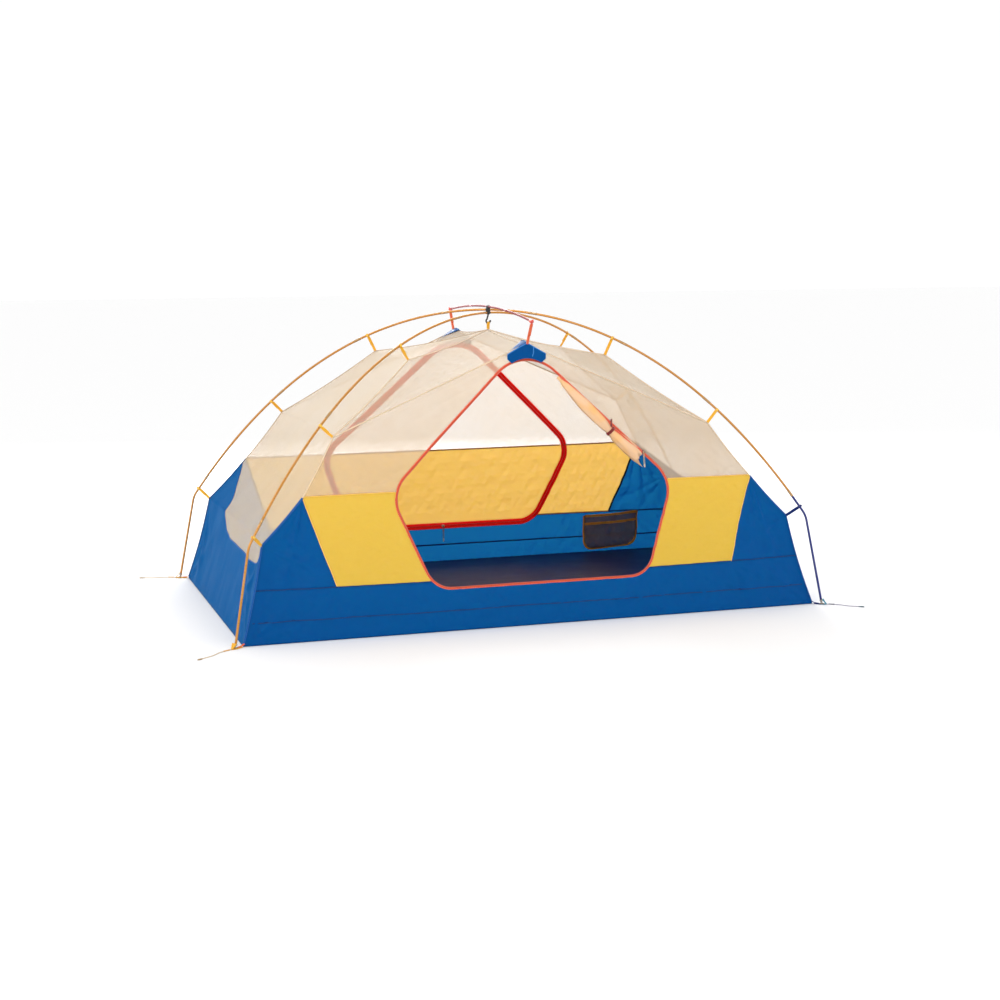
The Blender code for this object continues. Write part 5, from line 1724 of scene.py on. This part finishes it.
low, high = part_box("door_toggle")
bar = (low + high) / 2
TOGGLE_BAR = ((0.0, 0.0020), (0.002, 0.0036), (0.010, 0.0034), (0.013, 0.0024), (0.017, 0.0024),
              (0.020, 0.0034), (0.028, 0.0036), (0.030, 0.0020))
made("toggle_bar", [turned((bar[0], bar[1], high[2]), (0, 0, -1), TOGGLE_BAR)],
     plastic_look("dark_red_plastic", (0.14, 0.012, 0.012)), "door_toggle", "toggle")

TAIL_STEPS = ((0.0, 0.0, 0.0), (0.001, -0.003, -0.012), (-0.001, -0.0035, -0.024), (0.001, -0.003, -0.036))
TAIL_WIDTH = 0.0026
tail_start = roll_grid[2, -1] + np.array((0.0, -0.004, -0.006))
tail_path = smooth_route(tail_start + np.array(TAIL_STEPS), 25)
tail = rod("door_tail_cord", [tail_path], TAIL_WIDTH / 2, webbing_look("pale_tail", (0.86, 0.60, 0.25)), 10,
           (1, 0, 0))
placed(tail)


# ---------------------------------------------------------------------------
# Zip sliders: die-cast bodies, two plates joined by a nose with a bridge over the top, and a
# doubled cord pull that hangs from the bridge and ends in a moulded tip.
SLIDER_HALVES = (0.0064, 0.0054, 0.0011)
SLIDER_GAP = 0.0038
PULL_CORD = 0.0010


def slider_frame(word, travel):
    """Centre of a slider and its directions: along the zip, across it, and away from the cloth."""
    low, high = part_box(word + "_zipper_slider")
    centre = np.array((low + high) / 2)
    along = np.array(travel, float)
    normal = np.array((0.0, -0.9756, 0.2194)) if word == "front" else np.array((0.0, -1.0, 0.0))
    normal -= along * (normal @ along)
    normal /= np.linalg.norm(normal)
    return centre, along, np.cross(along, normal), normal


def slider_grids(centre, along, across, normal):
    """Both plates and the nose between them as rounded blocks, and the bridge as half an ellipse."""
    turn = np.stack([along, across, normal])
    grids = []
    for offset in (-SLIDER_GAP / 2, SLIDER_GAP / 2):
        grids.append(rounded_block((0, 0, offset), SLIDER_HALVES, 0.5, 14, 28) @ turn + centre)
    grids.append(rounded_block((0.0040, 0, 0), (0.0022, 0.0020, SLIDER_GAP / 2), 0.5, 12, 20) @ turn + centre)
    t = np.linspace(0, math.pi, 17)
    rise = SLIDER_GAP / 2 + 0.0004 + 0.0024 * np.sin(t)
    arch = np.stack([0.0048 * np.cos(t), np.zeros(17), rise], -1) @ turn + centre
    grids.append(tube_grid(arch, 0.0009, across, 12))
    return grids


def pull_grids(word):
    """Two cords side by side that bow apart by a sine of the way down, a ring through the bridge,
    a bead that binds them, and the turned tip that hangs at their end."""
    low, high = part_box(word + "_zipper_pull")
    middle = (low[0] + high[0]) / 2
    top = high[1] - 0.0013 if word == "front" else low[1] + 0.0013
    pivot = np.array((middle, top, high[2]))
    foot = np.array((middle, low[1] + 0.0013, low[2]))
    reach = np.linalg.norm(foot - pivot)
    down = (foot - pivot) / reach
    side = np.array((1.0, 0.0, 0.0))
    out = np.cross(side, down)
    grids = []
    t = np.linspace(0, 1, 30)[:, None]
    for hand in (-1, 1):
        spread = 0.0011 + 0.0012 * np.sin(math.pi * t) + 0.0003 * np.sin(9 * t)
        grids.append(tube_grid(pivot + down * (reach * 0.86 * t) + side * hand * spread, PULL_CORD, out, 10))
    grids.append(ring_grid(pivot + down * 0.0005, 0.0021, PULL_CORD, out))
    grids.append(rounded_block(pivot + down * reach * 0.30, (0.0028, 0.0020, 0.0026), 0.7, 12, 18))
    shape = ((0.0, 0.0018), (0.001, 0.0029), (reach * 0.10, 0.0032), (reach * 0.20, 0.0025),
             (reach * 0.22, 0.0012))
    return grids, [turned(pivot + down * reach * 0.78, down, shape)]


TRAVELS = {"front": (0.71762, -0.14952, -0.68019), "back": (1.0, 0.0, 0.0)}
CAST = {"front": metal_look("dark_red_cast", (0.20, 0.018, 0.020), roughness=0.38, metallic=0.35),
        "back": metal_look("cream_cast", (0.55, 0.42, 0.33), roughness=0.35, metallic=0.5)}
PULL_LOOKS = {"front": (webbing_look("cream_pull", (0.78, 0.58, 0.36)),
                        plastic_look("cream_tip", (0.66, 0.48, 0.32))),
              "back": (webbing_look("brown_pull", (0.30, 0.13, 0.09)),
                       plastic_look("lavender_tip", (0.42, 0.34, 0.46)))}

for word, travel in TRAVELS.items():
    made(word + "_slider_cast", slider_grids(*slider_frame(word, travel)), CAST[word],
         word + "_zipper_slider", word + "_slider")
    cords, tip = pull_grids(word)
    cord_look, tip_look = PULL_LOOKS[word]
    made(word + "_pull_cords", cords, cord_look, word + "_zipper_pull", word + "_pull")
    made(word + "_pull_tip", tip, tip_look, None, word + "_pull")
